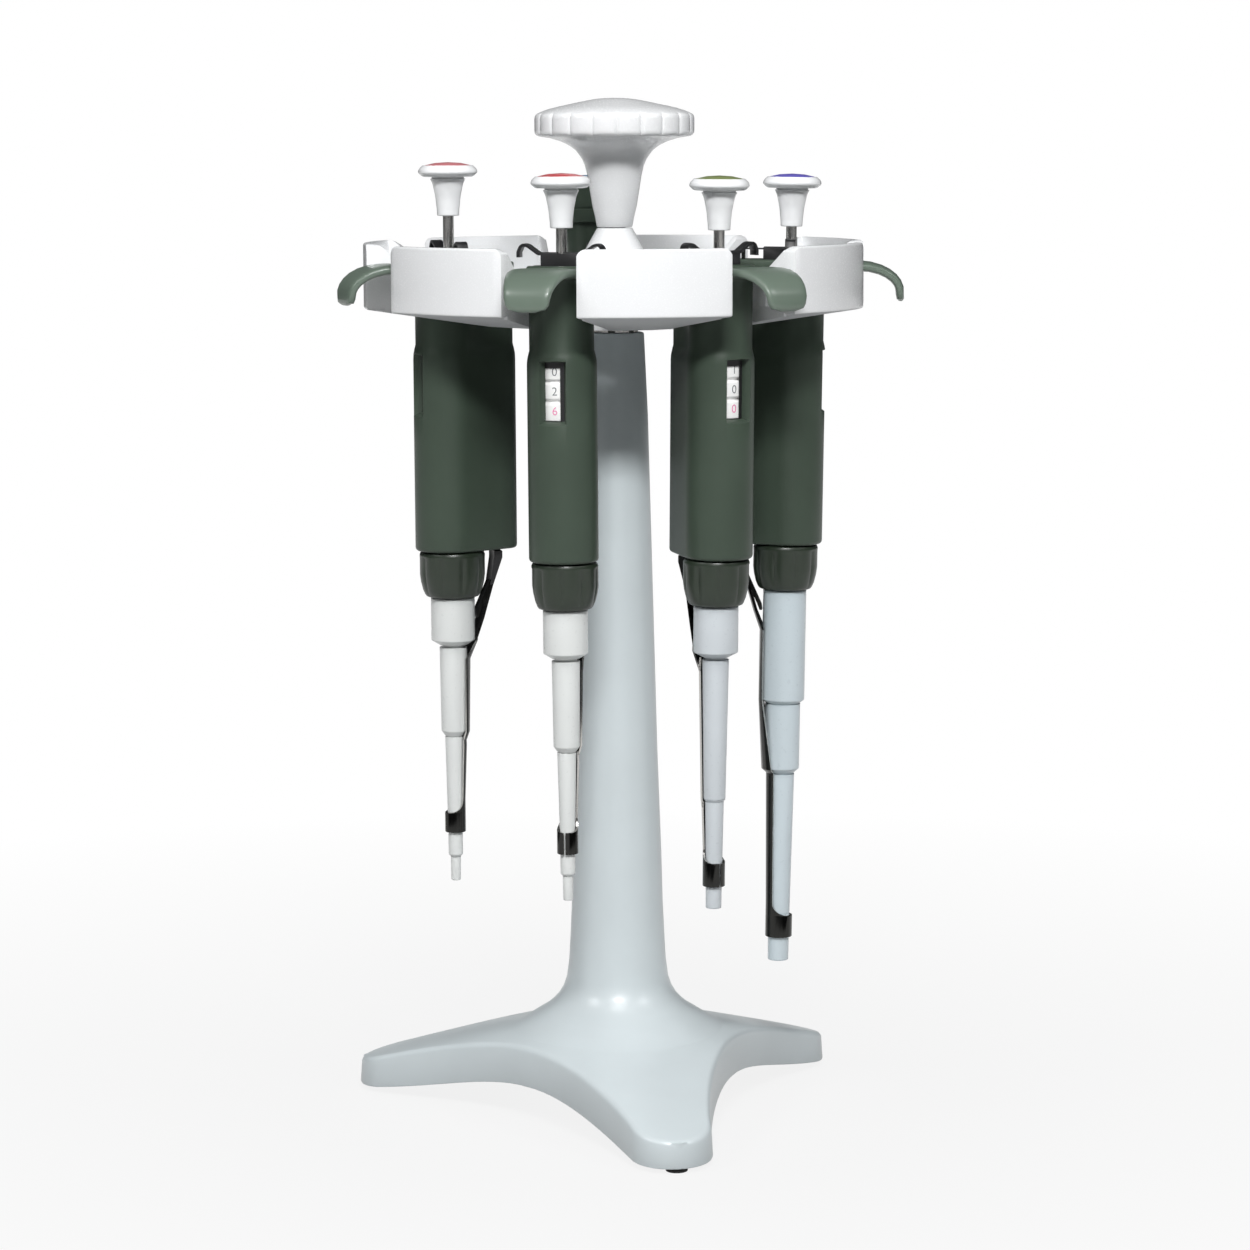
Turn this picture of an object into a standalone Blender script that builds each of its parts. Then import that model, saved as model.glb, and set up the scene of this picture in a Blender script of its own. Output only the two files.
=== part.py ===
"""A carousel stand for pipettes, with five pipettes hanging in its seven bays.

The stand is free-standing: a three-legged moulded foot and column, and a ring
of seven trays that turns on a spindle in the column's head and is spun by the
fluted knob. Between the trays are seven open bays. A pipette hangs in a bay by
the root of its finger hook, which rests on two small lugs, and lifts straight
out of it.

Metres, +Z up. The origin is on the column's axis at bench level. Bearings are
measured from -Y, positive towards +X.
"""

import math

import bmesh
import bpy
from mathutils import Matrix, Vector

# Foot: a three-lobed shell
LEG_COUNT = 3
LEG_BEARING = 12.14
LEG_REACH = 0.09095
LEG_TIP_RADIUS = 0.01335
VALLEY_RADIUS = 0.04004
TIP_UNDERSIDE = 0.00145
VALLEY_UNDERSIDE = 0.0119
UNDERSIDE_ARCH = 1.6
TIP_TOP = 0.0100
VALLEY_TOP = 0.0246
FOOT_EDGE_FILLET = 0.0022
FOOT_SIDE_DRAFT = 0.0004
SHELL_WALL = 0.0030
COLUMN_ROOT_RADIUS = 0.0345

# Rubber pads under the legs
PAD_INSET = 0.0047
PAD_RADIUS = 0.0035
PAD_STEM_RADIUS = 0.0016
PAD_STEM_LENGTH = 0.0032
PAD_BOSS_WALL = 0.0024

# Column: radius against height in the root fillet, then against the share of
# the height that is left above it
COLUMN_FILLET = (
    (0.0266, 0.0312),
    (0.0217, 0.0347),
    (0.0179, 0.0398),
    (0.0160, 0.0490),
)
COLUMN_TAPER = (
    (0.0150, 0.097),
    (0.0134, 0.338),
    (0.0118, 0.642),
    (0.0106, 0.869),
)
COLUMN_TOP_RADIUS = 0.0094
COLUMN_HEAD_LENGTH = 0.0500

# Ballast inside the foot
WEIGHT_RADIUS = 0.0300
WEIGHT_THICKNESS = 0.0075
WEIGHT_SPIGOT_RADIUS = 0.0115
WEIGHT_SPIGOT_LENGTH = 0.0150

# Spindle, bushes, washer and clip
SPINDLE_RADIUS = 0.0035
SPINDLE_CLEARANCE = 0.00005
SPINDLE_TAIL = 0.0060
SPINDLE_IN_KNOB = 0.0110
BUSH_WALL = 0.0022
BUSH_LENGTH = 0.0120
BUSH_FLANGE_RADIUS = 0.0078
BUSH_FLANGE = 0.0013
WASHER_RADIUS = 0.0074
WASHER_THICKNESS = 0.0010
CLIP_RADIUS = 0.0058
CLIP_THICKNESS = 0.0010
CLIP_GROOVE_DEPTH = 0.0007

# Carousel ring: rises and drops are measured from the seats
BAY_COUNT = 7
BAY_BEARING = -16.75
RING_RADIUS = 0.08125
RING_RISE = 0.0094
RING_DROP = 0.0115
RING_WALL = 0.0022
TRAY_FLOOR = 0.0024
TRAY_MID_RADIUS = 0.0490
TRAY_MID_DROP = 0.0165
TRAY_INNER_RADIUS = 0.0357
TRAY_INNER_DROP = 0.0175
HUB_FLAT_RADIUS = 0.0200
HUB_DROP = 0.0182
HUB_CONE_TOP_RADIUS = 0.0057
HUB_CONE_FOOT_RADIUS = 0.0225
HUB_RISE = 0.0138
BAY_HALF_WIDTH = 0.0120
BAY_ROUND_CENTRE = 0.0420
BAY_WALL = 0.0022
BAY_CORNER_TOP = 0.0036
BAY_CORNER_BOTTOM = 0.0013
WALL_SHOULDER_RADIUS = 0.0630
WALL_SHOULDER_DROP = 0.0008
WALL_INNER_RADIUS = 0.0450
WALL_INNER_DROP = 0.0072
WALL_ROOT_DROP = 0.0092
PANEL_EDGE = 0.0007

# Lugs that carry the pipettes
LUG_INNER_RADIUS = 0.0645
LUG_LENGTH = 0.0045
LUG_REACH = 0.0028
LUG_HEIGHT = 0.0090

# Knob: radius against height above its lower end
KNOB_STATIONS = (
    (0.0057, 0.0000),
    (0.0072, 0.0069),
    (0.0083, 0.0142),
    (0.0095, 0.0198),
    (0.0112, 0.0230),
    (0.0145, 0.0262),
    (0.0190, 0.0283),
    (0.0243, 0.0292),
)
KNOB_RIM_RADIUS = 0.0259
KNOB_RIM_BOTTOM = 0.0301
KNOB_RIM_TOP = 0.0357
KNOB_CROWN = (
    (0.0206, 0.0380),
    (0.0144, 0.0394),
    (0.0081, 0.0407),
)
KNOB_HEIGHT = 0.0413
KNOB_FLUTES = 20
KNOB_FLUTE_DEPTH = 0.0008

# How the pipettes hang
SEAT_HEIGHT = 0.2760
PIPETTE_RADIUS = 0.0569

# Handle, measured down from the seat where it goes below it
BODY_RADIUS = 0.0109
BODY_OFFSET = 0.0009
SPINE_RADIUS = 0.0050
SPINE_OFFSET = 0.0169
WAIST_PINCH = 0.0016
HEAD_HEIGHT = 0.0036
HANDLE_LENGTH = 0.0884
GRIP_SHOULDER = 0.0240
HANDLE_EDGE = 0.0008
HOOK_THICKNESS = 0.0032
HOOK_ROOT_HALF_WIDTH = 0.0106
HOOK_TIP_HALF_WIDTH = 0.0073
HOOK_REACH = 0.0353
HOOK_DROP = 0.0112

# Volume window and number wheels
WINDOW_TOP = 0.0258
WINDOW_HEIGHT = 0.0188
WINDOW_WIDTH = 0.0080
WINDOW_BEVEL = 0.0012
WHEEL_RADIUS = 0.0086
WHEEL_CLEARANCE = 0.0003
WHEEL_COUNT = 3
WHEEL_GROOVE = 0.0004

# Plunger
ROD_RADIUS = 0.0017
ROD_CLEARANCE = 0.00006
ROD_DEPTH = 0.0490
ROD_IN_BUTTON = 0.0060
BUTTON_STEM_RADIUS = 0.0031
BUTTON_NECK_RADIUS = 0.0052
BUTTON_HEAD_RADIUS = 0.0095
BUTTON_STEM_LENGTH = 0.0122
BUTTON_HEAD_HEIGHT = 0.0047
CAP_RADIUS = 0.0074
CAP_THICKNESS = 0.0010
CAP_DOME = 0.0010

# Tip ejector
EJECTOR_STROKE = 0.0050
EJECTOR_HALF_WIDTH = 0.0066
EJECTOR_FRONT = 0.0034
EJECTOR_BACK = 0.0088
EJECTOR_TOP = 0.0078
EJECTOR_PLATE = 0.0011
EAR_REACH = 0.0142
EAR_APEX = 0.0118
EAR_HEIGHT = 0.0028
EAR_DROP = 0.0016
EAR_WIDTH = 0.0034
EAR_STRAP = 0.0009
EJECTOR_TAIL_HALF_WIDTH = 0.0016
EJECTOR_TAIL_BACK = 0.0168
ARM_RADIUS = 0.0010
ARM_OFFSET = 0.0154
ARM_CLEARANCE = 0.0004
ARM_COLLAR_WALL = 0.0006

# The tall pipette: a neck above the head, a skirted button over the neck, and
# a round ejector button above the arm
NECK_RADIUS = 0.0074
NECK_HEIGHT = 0.0192
TALL_STROKE = 0.0060
TALL_BUTTON_RADIUS = 0.0090
TALL_BUTTON_LENGTH = 0.0158
TALL_BUTTON_CROWN = 0.0044
TALL_ROD_IN_BUTTON = 0.0026
PUSH_RADIUS = 0.0030

# Nut under the handle
NUT_RADIUS = 0.0105
NUT_FOOT_RADIUS = 0.0086
NUT_LENGTH = 0.0146
NUT_FLUTES = 9
NUT_FLUTE_DEPTH = 0.0004
SOCKET_RADIUS = 0.0058
SOCKET_DEPTH = 0.0060

# Gap left between pieces that touch
GAP = 0.0003

# Heights that follow the seats
RING_TOP = SEAT_HEIGHT + RING_RISE
RING_LOWER_EDGE = SEAT_HEIGHT - RING_DROP
TRAY_MID_UNDERSIDE = SEAT_HEIGHT - TRAY_MID_DROP
TRAY_INNER_UNDERSIDE = SEAT_HEIGHT - TRAY_INNER_DROP
WALL_SHOULDER_TOP = SEAT_HEIGHT - WALL_SHOULDER_DROP
WALL_INNER_TOP = SEAT_HEIGHT - WALL_INNER_DROP
WALL_ROOT_TOP = SEAT_HEIGHT - WALL_ROOT_DROP
HUB_UNDERSIDE = SEAT_HEIGHT - HUB_DROP
HUB_TOP = SEAT_HEIGHT + HUB_RISE
COLUMN_TOP = HUB_UNDERSIDE - WASHER_THICKNESS - 2 * GAP
COLUMN_RISE = COLUMN_TOP - COLUMN_FILLET[-1][1]
COLUMN_STATIONS = COLUMN_FILLET + tuple(
    (radius, COLUMN_TOP - COLUMN_RISE * (1.0 - share)) for radius, share in COLUMN_TAPER
)

# Nozzle profiles: radius against depth below the seat
FINE_NOZZLE = (
    (0.00705, 0.1040),
    (0.00705, 0.1174),
    (0.00445, 0.1190),
    (0.00415, 0.1470),
    (0.00300, 0.1486),
    (0.00235, 0.1795),
    (0.00235, 0.1876),
    (0.00165, 0.1884),
    (0.00155, 0.1962),
)
MEDIUM_NOZZLE = (
    (0.00710, 0.1040),
    (0.00710, 0.1184),
    (0.00425, 0.1200),
    (0.00350, 0.1655),
    (0.00300, 0.1663),
    (0.00255, 0.1940),
    (0.00250, 0.2010),
)
LARGE_NOZZLE = (
    (0.00705, 0.1040),
    (0.00705, 0.1398),
    (0.00575, 0.1408),
    (0.00575, 0.1626),
    (0.00420, 0.1640),
    (0.00350, 0.2110),
    (0.00340, 0.2268),
)

# One row for each pipette: bay, lean and sway in degrees, rise of the button
# above the head, whether it is the tall kind, nozzle, ejector collar's depth
# and length, and the colour of the disc in the button
PIPETTES = (
    {
        "name": "pipette_1",
        "bay": -1,
        "lean": 0.15,
        "sway": 0.0,
        "button_rise": 0.0148,
        "tall": False,
        "nozzle": FINE_NOZZLE,
        "collar": 0.1738,
        "collar_length": 0.0064,
        "colour": (0.80, 0.22, 0.24),
    },
    {
        "name": "pipette_2",
        "bay": 0,
        "lean": 0.05,
        "sway": -0.25,
        "button_rise": 0.0116,
        "tall": False,
        "nozzle": FINE_NOZZLE,
        "collar": 0.1742,
        "collar_length": 0.0070,
        "colour": (0.62, 0.04, 0.05),
    },
    {
        "name": "pipette_3",
        "bay": 1,
        "lean": 0.85,
        "sway": 0.0,
        "button_rise": 0.0106,
        "tall": False,
        "nozzle": MEDIUM_NOZZLE,
        "collar": 0.1862,
        "collar_length": 0.0076,
        "colour": (0.20, 0.26, 0.06),
    },
    {
        "name": "pipette_4",
        "bay": 2,
        "lean": 0.95,
        "sway": 0.0,
        "button_rise": 0.0106,
        "tall": False,
        "nozzle": LARGE_NOZZLE,
        "collar": 0.2117,
        "collar_length": 0.0072,
        "colour": (0.12, 0.10, 0.55),
    },
    {
        "name": "pipette_5",
        "bay": 4,
        "lean": 0.30,
        "sway": 0.0,
        "button_rise": 0.0116,
        "tall": True,
        "nozzle": MEDIUM_NOZZLE,
        "collar": 0.1862,
        "collar_length": 0.0076,
        "colour": (0.10, 0.30, 0.55),
    },
)

ROUND = 14
SLIM = 10
RING_STEPS = 42


def material(name, colour, roughness, metallic=0.0):
    made = bpy.data.materials.get(name)
    if made is None:
        made = bpy.data.materials.new(name)
        made.use_nodes = True
        shader = made.node_tree.nodes["Principled BSDF"]
        shader.inputs["Base Color"].default_value = (*colour, 1.0)
        shader.inputs["Roughness"].default_value = roughness
        shader.inputs["Metallic"].default_value = metallic
        made.diffuse_color = (*colour, 1.0)
    return made


def finish(name, bm, surface=None, angle=35.0):
    """Turn a bmesh into a named object, with smooth shading on its round faces."""
    bmesh.ops.recalc_face_normals(bm, faces=bm.faces)
    mesh = bpy.data.meshes.new(name)
    bm.to_mesh(mesh)
    bm.free()
    obj = bpy.data.objects.new(name, mesh)
    bpy.context.scene.collection.objects.link(obj)
    if surface:
        mesh.materials.append(surface)
    mesh.shade_smooth()
    mesh.set_sharp_from_angle(angle=math.radians(angle))
    return obj


def spun(profile, steps, centre=(0.0, 0.0)):
    """Spin a list of (radius, height) points a full turn. A profile whose ends
    both lie on the axis closes there, and any other is joined end to start."""
    bm = bmesh.new()
    points = [bm.verts.new((radius, 0.0, height)) for radius, height in profile]
    edges = [bm.edges.new(pair) for pair in zip(points, points[1:])]
    if profile[0][0] > 0.0 or profile[-1][0] > 0.0:
        edges.append(bm.edges.new((points[-1], points[0])))
    bmesh.ops.spin(
        bm,
        geom=points + edges,
        cent=(0.0, 0.0, 0.0),
        axis=(0.0, 0.0, 1.0),
        angle=math.tau,
        steps=steps,
        use_merge=True,
        use_duplicate=False,
    )
    bmesh.ops.remove_doubles(bm, verts=bm.verts, dist=1e-7)
    bmesh.ops.translate(bm, verts=bm.verts, vec=(centre[0], centre[1], 0.0))
    return bm


def lofted(rings, closed=False):
    """Skin a list of equal rings of points. Open lofts get flat ends."""
    bm = bmesh.new()
    loops = [[bm.verts.new(point) for point in ring] for ring in rings]
    pairs = list(zip(loops, loops[1:]))
    if closed:
        pairs.append((loops[-1], loops[0]))
    for lower, upper in pairs:
        for i in range(len(lower)):
            j = (i + 1) % len(lower)
            bm.faces.new((lower[i], lower[j], upper[j], upper[i]))
    if not closed:
        bm.faces.new(reversed(loops[0]))
        bm.faces.new(loops[-1])
    return bm


def merged(shapes):
    """One bmesh that holds several separate closed shapes."""
    whole = bmesh.new()
    for shape in shapes:
        mesh = bpy.data.meshes.new("shape")
        shape.to_mesh(mesh)
        shape.free()
        whole.from_mesh(mesh)
        bpy.data.meshes.remove(mesh)
    return whole


def helper(obj):
    """A cutter or an addition that only shapes another piece."""
    obj.hide_render = True
    obj.hide_set(True)
    obj.display_type = "WIRE"
    return obj


def combine(obj, others, operation, triangles=False):
    for other in others:
        if triangles:
            obj.modifiers.new("Triangles", "TRIANGULATE")
        step = obj.modifiers.new(operation.title(), "BOOLEAN")
        step.operation = operation
        step.solver = "EXACT"
        step.object = helper(other)


def circle(radius, height, steps, centre=(0.0, 0.0)):
    turn = math.tau / steps
    return [
        (
            centre[0] + radius * math.cos(i * turn),
            centre[1] + radius * math.sin(i * turn),
            height,
        )
        for i in range(steps)
    ]


def bore_radius(radius, steps):
    """Radius at the corners of a faceted hole whose flats clear this radius."""
    return radius / math.cos(math.pi / steps)


def place(obj, parent):
    """Put an object and its cutters in the space of a parent."""
    obj.parent = parent
    for step in obj.modifiers:
        if step.type == "BOOLEAN":
            place(step.object, parent)
    return obj


def bearing_turn(bearing):
    """Turn about Z that takes the -Y direction to this bearing."""
    return Matrix.Rotation(math.radians(bearing), 4, "Z")


def bay_bearing(index):
    return BAY_BEARING + index * 360.0 / BAY_COUNT


def lobe(reach, tip_radius, valley, tip_points=3, valley_points=4):
    """Half a lobe of the foot's outline, from the tip's middle to the valley's
    middle: an arc round the tip, tangent to a hollow arc between two legs."""
    tip_centre = reach - tip_radius
    spread = tip_radius - valley
    half = math.pi / LEG_COUNT
    hollow = (tip_centre**2 - spread**2) / (2 * tip_centre * math.cos(half) + 2 * spread)
    hollow_radius = hollow - valley
    cx = hollow * math.cos(half)
    cy = hollow * math.sin(half)
    meet = math.atan2(cy, cx - tip_centre)
    points = []
    for i in range(tip_points):
        a = meet * i / (tip_points - 1)
        points.append((tip_centre + tip_radius * math.cos(a), tip_radius * math.sin(a)))
    start = meet - math.pi
    end = half - math.pi
    for i in range(1, valley_points + 1):
        a = start + (end - start) * i / valley_points
        points.append((cx + hollow_radius * math.cos(a), cy + hollow_radius * math.sin(a)))
    return points


def foot_outline(inset):
    """The foot's outline, set in by some distance, as (x, y) points."""
    half = lobe(LEG_REACH - inset, LEG_TIP_RADIUS - inset, VALLEY_RADIUS - inset)
    whole = [(x, -y) for x, y in reversed(half[1:-1])] + half
    points = []
    for leg in range(LEG_COUNT):
        turn = math.radians(LEG_BEARING - 90.0 + leg * 360.0 / LEG_COUNT)
        c = math.cos(turn)
        s = math.sin(turn)
        points.extend((c * x - s * y, s * x + c * y) for x, y in whole)
    return points


def leg_share(radius):
    """0 at a leg's tip and 1 at the radius of a valley."""
    return (LEG_REACH - radius) / (LEG_REACH - VALLEY_RADIUS)


def foot_top(radius):
    return TIP_TOP + (VALLEY_TOP - TIP_TOP) * leg_share(radius)


def foot_underside(radius):
    share = min(max(leg_share(radius), 0.0), 1.0)
    return TIP_UNDERSIDE + (VALLEY_UNDERSIDE - TIP_UNDERSIDE) * share**UNDERSIDE_ARCH


def outline_ring(inset, height):
    """The outline as a ring, at a height that goes by each point's radius."""
    return [(x, y, height(math.hypot(x, y))) for x, y in foot_outline(inset)]


def bearing_ring(radius, height):
    """A circle with its points on the same bearings as the outline's."""
    ring = []
    for x, y in foot_outline(0.0):
        length = math.hypot(x, y)
        ring.append((radius * x / length, radius * y / length, height))
    return ring


def between(outer, inner, share, height):
    ring = []
    for a, b in zip(outer, inner):
        x = a[0] + (b[0] - a[0]) * share
        y = a[1] + (b[1] - a[1]) * share
        ring.append((x, y, height(math.hypot(x, y))))
    return ring


def column_bush_radius():
    return SPINDLE_RADIUS + SPINDLE_CLEARANCE + BUSH_WALL


def make_base_column(surface):
    """One moulding: shell foot, tapered hollow column and its bored head."""
    fillet = FOOT_EDGE_FILLET
    lower = PANEL_EDGE
    crown = outline_ring(fillet, foot_top)
    root = bearing_ring(COLUMN_ROOT_RADIUS, foot_top(COLUMN_ROOT_RADIUS))
    rings = [
        outline_ring(lower, foot_underside),
        outline_ring(0.0, lambda r: foot_underside(r) + lower),
        outline_ring(FOOT_SIDE_DRAFT, lambda r: foot_top(r) - fillet),
        outline_ring(fillet * 0.4, lambda r: foot_top(r) - fillet * 0.4),
        crown,
        between(crown, root, 0.5, foot_top),
        root,
    ]
    rings.extend(bearing_ring(radius, height) for radius, height in COLUMN_STATIONS)
    rings.append(bearing_ring(COLUMN_TOP_RADIUS, COLUMN_TOP - PANEL_EDGE))
    rings.append(bearing_ring(COLUMN_TOP_RADIUS - PANEL_EDGE, COLUMN_TOP))

    bore = bore_radius(column_bush_radius() + GAP, 24)
    seat = bore_radius(BUSH_FLANGE_RADIUS + GAP, 24)
    seat_floor = COLUMN_TOP - BUSH_FLANGE - 2 * GAP
    head_bottom = COLUMN_TOP - COLUMN_HEAD_LENGTH
    rings.append(bearing_ring(seat, COLUMN_TOP))
    rings.append(bearing_ring(seat, seat_floor))
    rings.append(bearing_ring(bore, seat_floor))
    rings.append(bearing_ring(bore, head_bottom))
    hollow = [(r - SHELL_WALL, z) for r, z in COLUMN_STATIONS if z < head_bottom]
    rings.append(bearing_ring(hollow[-1][0] - PANEL_EDGE, head_bottom))
    for radius, height in reversed(hollow):
        low = radius > COLUMN_STATIONS[3][0] - SHELL_WALL
        rings.append(bearing_ring(radius, height - (SHELL_WALL if low else 0.0)))
    drop = 1.04 * SHELL_WALL
    inner_crown = outline_ring(SHELL_WALL, lambda r: foot_top(r) - drop)
    inner_root = bearing_ring(COLUMN_ROOT_RADIUS, 0.0)
    skin = lambda r: foot_top(r) - drop
    rings.append(between(inner_crown, inner_root, 0.96, skin))
    rings.append(between(inner_crown, inner_root, 0.45, skin))
    rings.append(inner_crown)
    rings.append(outline_ring(SHELL_WALL, foot_underside))
    body = finish("base_column", lofted(rings, closed=True), surface)

    bosses = []
    holes = []
    for leg in range(LEG_COUNT):
        x, y = pad_centre(leg)
        under = foot_underside(LEG_REACH - PAD_INSET)
        above = foot_top(LEG_REACH - PAD_INSET) - 0.5 * SHELL_WALL
        radius = PAD_STEM_RADIUS + GAP + PAD_BOSS_WALL
        ring = lambda r, z, n=16: circle(r, z, n, (x, y))
        bosses.append(finish("pad_boss", lofted([ring(radius, under), ring(radius, above)])))
        hole = bore_radius(PAD_STEM_RADIUS + GAP, 12)
        top = under + PAD_STEM_LENGTH + GAP
        holes.append(
            finish("pad_hole", lofted([ring(hole, -LEG_TIP_RADIUS, 12), ring(hole, top, 12)]))
        )
    combine(body, bosses, "UNION")
    combine(body, holes, "DIFFERENCE")
    return body


def pad_centre(leg):
    turn = math.radians(LEG_BEARING - 90.0 + leg * 360.0 / LEG_COUNT)
    radius = LEG_REACH - PAD_INSET
    return radius * math.cos(turn), radius * math.sin(turn)


def make_pads(surface):
    under = foot_underside(LEG_REACH - PAD_INSET)
    top = TIP_UNDERSIDE - GAP
    stem_top = under + PAD_STEM_LENGTH
    for leg in range(LEG_COUNT):
        profile = [
            (0.0, 0.0),
            (PAD_RADIUS - 0.4 * GAP, 0.0),
            (PAD_RADIUS, 0.4 * GAP),
            (PAD_RADIUS, top),
            (PAD_STEM_RADIUS, top),
            (PAD_STEM_RADIUS, stem_top),
            (0.0, stem_top),
        ]
        obj = finish(f"foot_pad_{leg + 1}", spun(profile, 16), surface)
        x, y = pad_centre(leg)
        obj.location = (x, y, 0.0)


def make_weight(surface):
    """A turned steel disc with a spigot that centres it in the column."""
    skin = foot_top(WEIGHT_RADIUS) - 1.04 * SHELL_WALL
    top = skin - GAP
    profile = [
        (0.0, top - WEIGHT_THICKNESS),
        (WEIGHT_RADIUS - PANEL_EDGE, top - WEIGHT_THICKNESS),
        (WEIGHT_RADIUS, top - WEIGHT_THICKNESS + PANEL_EDGE),
        (WEIGHT_RADIUS, top),
        (WEIGHT_SPIGOT_RADIUS, top),
        (WEIGHT_SPIGOT_RADIUS, top + WEIGHT_SPIGOT_LENGTH),
        (0.0, top + WEIGHT_SPIGOT_LENGTH),
    ]
    finish("base_weight", spun(profile, 30), surface)


def bush_profile(seat, up):
    """A flanged bush whose flange meets its seat, with its body going the other
    way. up is 1 where the flange looks up and -1 where it looks down."""
    bore = bore_radius(SPINDLE_RADIUS + SPINDLE_CLEARANCE, 20)
    outer = column_bush_radius()
    return [
        (bore, seat + up * BUSH_FLANGE),
        (BUSH_FLANGE_RADIUS, seat + up * BUSH_FLANGE),
        (BUSH_FLANGE_RADIUS, seat),
        (outer, seat),
        (outer, seat - up * BUSH_LENGTH),
        (bore, seat - up * BUSH_LENGTH),
    ]


def make_bearings(plastic, steel):
    upper_seat = COLUMN_TOP - BUSH_FLANGE - GAP
    lower_seat = COLUMN_TOP - COLUMN_HEAD_LENGTH - GAP
    finish("upper_bush", spun(bush_profile(upper_seat, 1), 20), plastic)
    lower_flange = [
        (min(radius, lower_flange_radius()), height)
        for radius, height in bush_profile(lower_seat, -1)
    ]
    finish("lower_bush", spun(lower_flange, 20), plastic)
    washer_foot = COLUMN_TOP
    bore = bore_radius(SPINDLE_RADIUS + GAP, 20)
    top = washer_foot + WASHER_THICKNESS
    profile = [(bore, washer_foot), (WASHER_RADIUS, washer_foot), (WASHER_RADIUS, top), (bore, top)]
    finish("thrust_washer", spun(profile, 20), steel)


def lower_flange_radius():
    hollow = COLUMN_STATIONS[-2][0] - SHELL_WALL
    return min(BUSH_FLANGE_RADIUS, hollow - 3 * GAP)


def clip_top():
    return COLUMN_TOP - COLUMN_HEAD_LENGTH - BUSH_FLANGE - 2 * GAP


def make_spindle(axle, steel):
    """The steel spindle that the ring and the knob turn on, and its clip."""
    groove = SPINDLE_RADIUS - CLIP_GROOVE_DEPTH
    top = HUB_TOP + 2 * GAP + SPINDLE_IN_KNOB
    clip = clip_top()
    end = clip - CLIP_THICKNESS - SPINDLE_TAIL
    chamfer = 0.5 * CLIP_GROOVE_DEPTH
    profile = [
        (0.0, end),
        (SPINDLE_RADIUS - chamfer, end),
        (SPINDLE_RADIUS, end + chamfer),
        (SPINDLE_RADIUS, clip - CLIP_THICKNESS - GAP),
        (groove, clip - CLIP_THICKNESS - GAP),
        (groove, clip + 0.5 * GAP),
        (SPINDLE_RADIUS, clip + 0.5 * GAP),
        (SPINDLE_RADIUS, top - chamfer),
        (SPINDLE_RADIUS - chamfer, top),
        (0.0, top),
    ]
    place(finish("spindle", spun(profile, 16), steel), axle)
    bore = bore_radius(groove + GAP, 16)
    ring = [
        (bore, clip - CLIP_THICKNESS),
        (CLIP_RADIUS, clip - CLIP_THICKNESS),
        (CLIP_RADIUS, clip),
        (bore, clip),
    ]
    place(finish("retaining_clip", spun(ring, 16), steel), axle)


def bay_outline(half_width, reach):
    """A bay in plan: round at its inner end and open outwards along +X."""
    points = [(reach, -half_width), (reach, half_width)]
    for i in range(9):
        a = math.pi / 2 + math.pi * i / 8
        x = BAY_ROUND_CENTRE + half_width * math.cos(a)
        points.append((x, half_width * math.sin(a)))
    return points


def prism(outline, bottom, top, turn):
    c = math.cos(turn)
    s = math.sin(turn)
    flat = [(c * x - s * y, s * x + c * y) for x, y in outline]
    return lofted([[(x, y, z) for x, y in flat] for z in (bottom, top)])


def bay_mouth(turn):
    """Cutter for the outer wall between two panels, with its rounded corners."""
    half = BAY_HALF_WIDTH - GAP
    top = BAY_CORNER_TOP
    low = BAY_CORNER_BOTTOM
    high = RING_TOP - top + 0.5 * GAP
    deep = RING_LOWER_EDGE + low - 0.5 * GAP
    side = [(half + top, RING_TOP + top)]
    for i in range(5):
        a = math.pi / 2 * i / 4
        side.append((half + top - top * math.sin(a), high + top * math.cos(a)))
    for i in range(4):
        a = math.pi / 2 * i / 3
        side.append((half + low - low * math.cos(a), deep - low * math.sin(a)))
    side.append((half + low, RING_LOWER_EDGE - 4 * low))
    outline = side + [(-x, z) for x, z in reversed(side)]
    c = math.cos(turn)
    s = math.sin(turn)
    rings = []
    for reach in (RING_RADIUS - 3 * RING_WALL, RING_RADIUS + 4 * RING_WALL):
        rings.append([(c * reach - s * y, s * reach + c * y, z) for y, z in outline])
    return lofted(rings)


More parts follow.
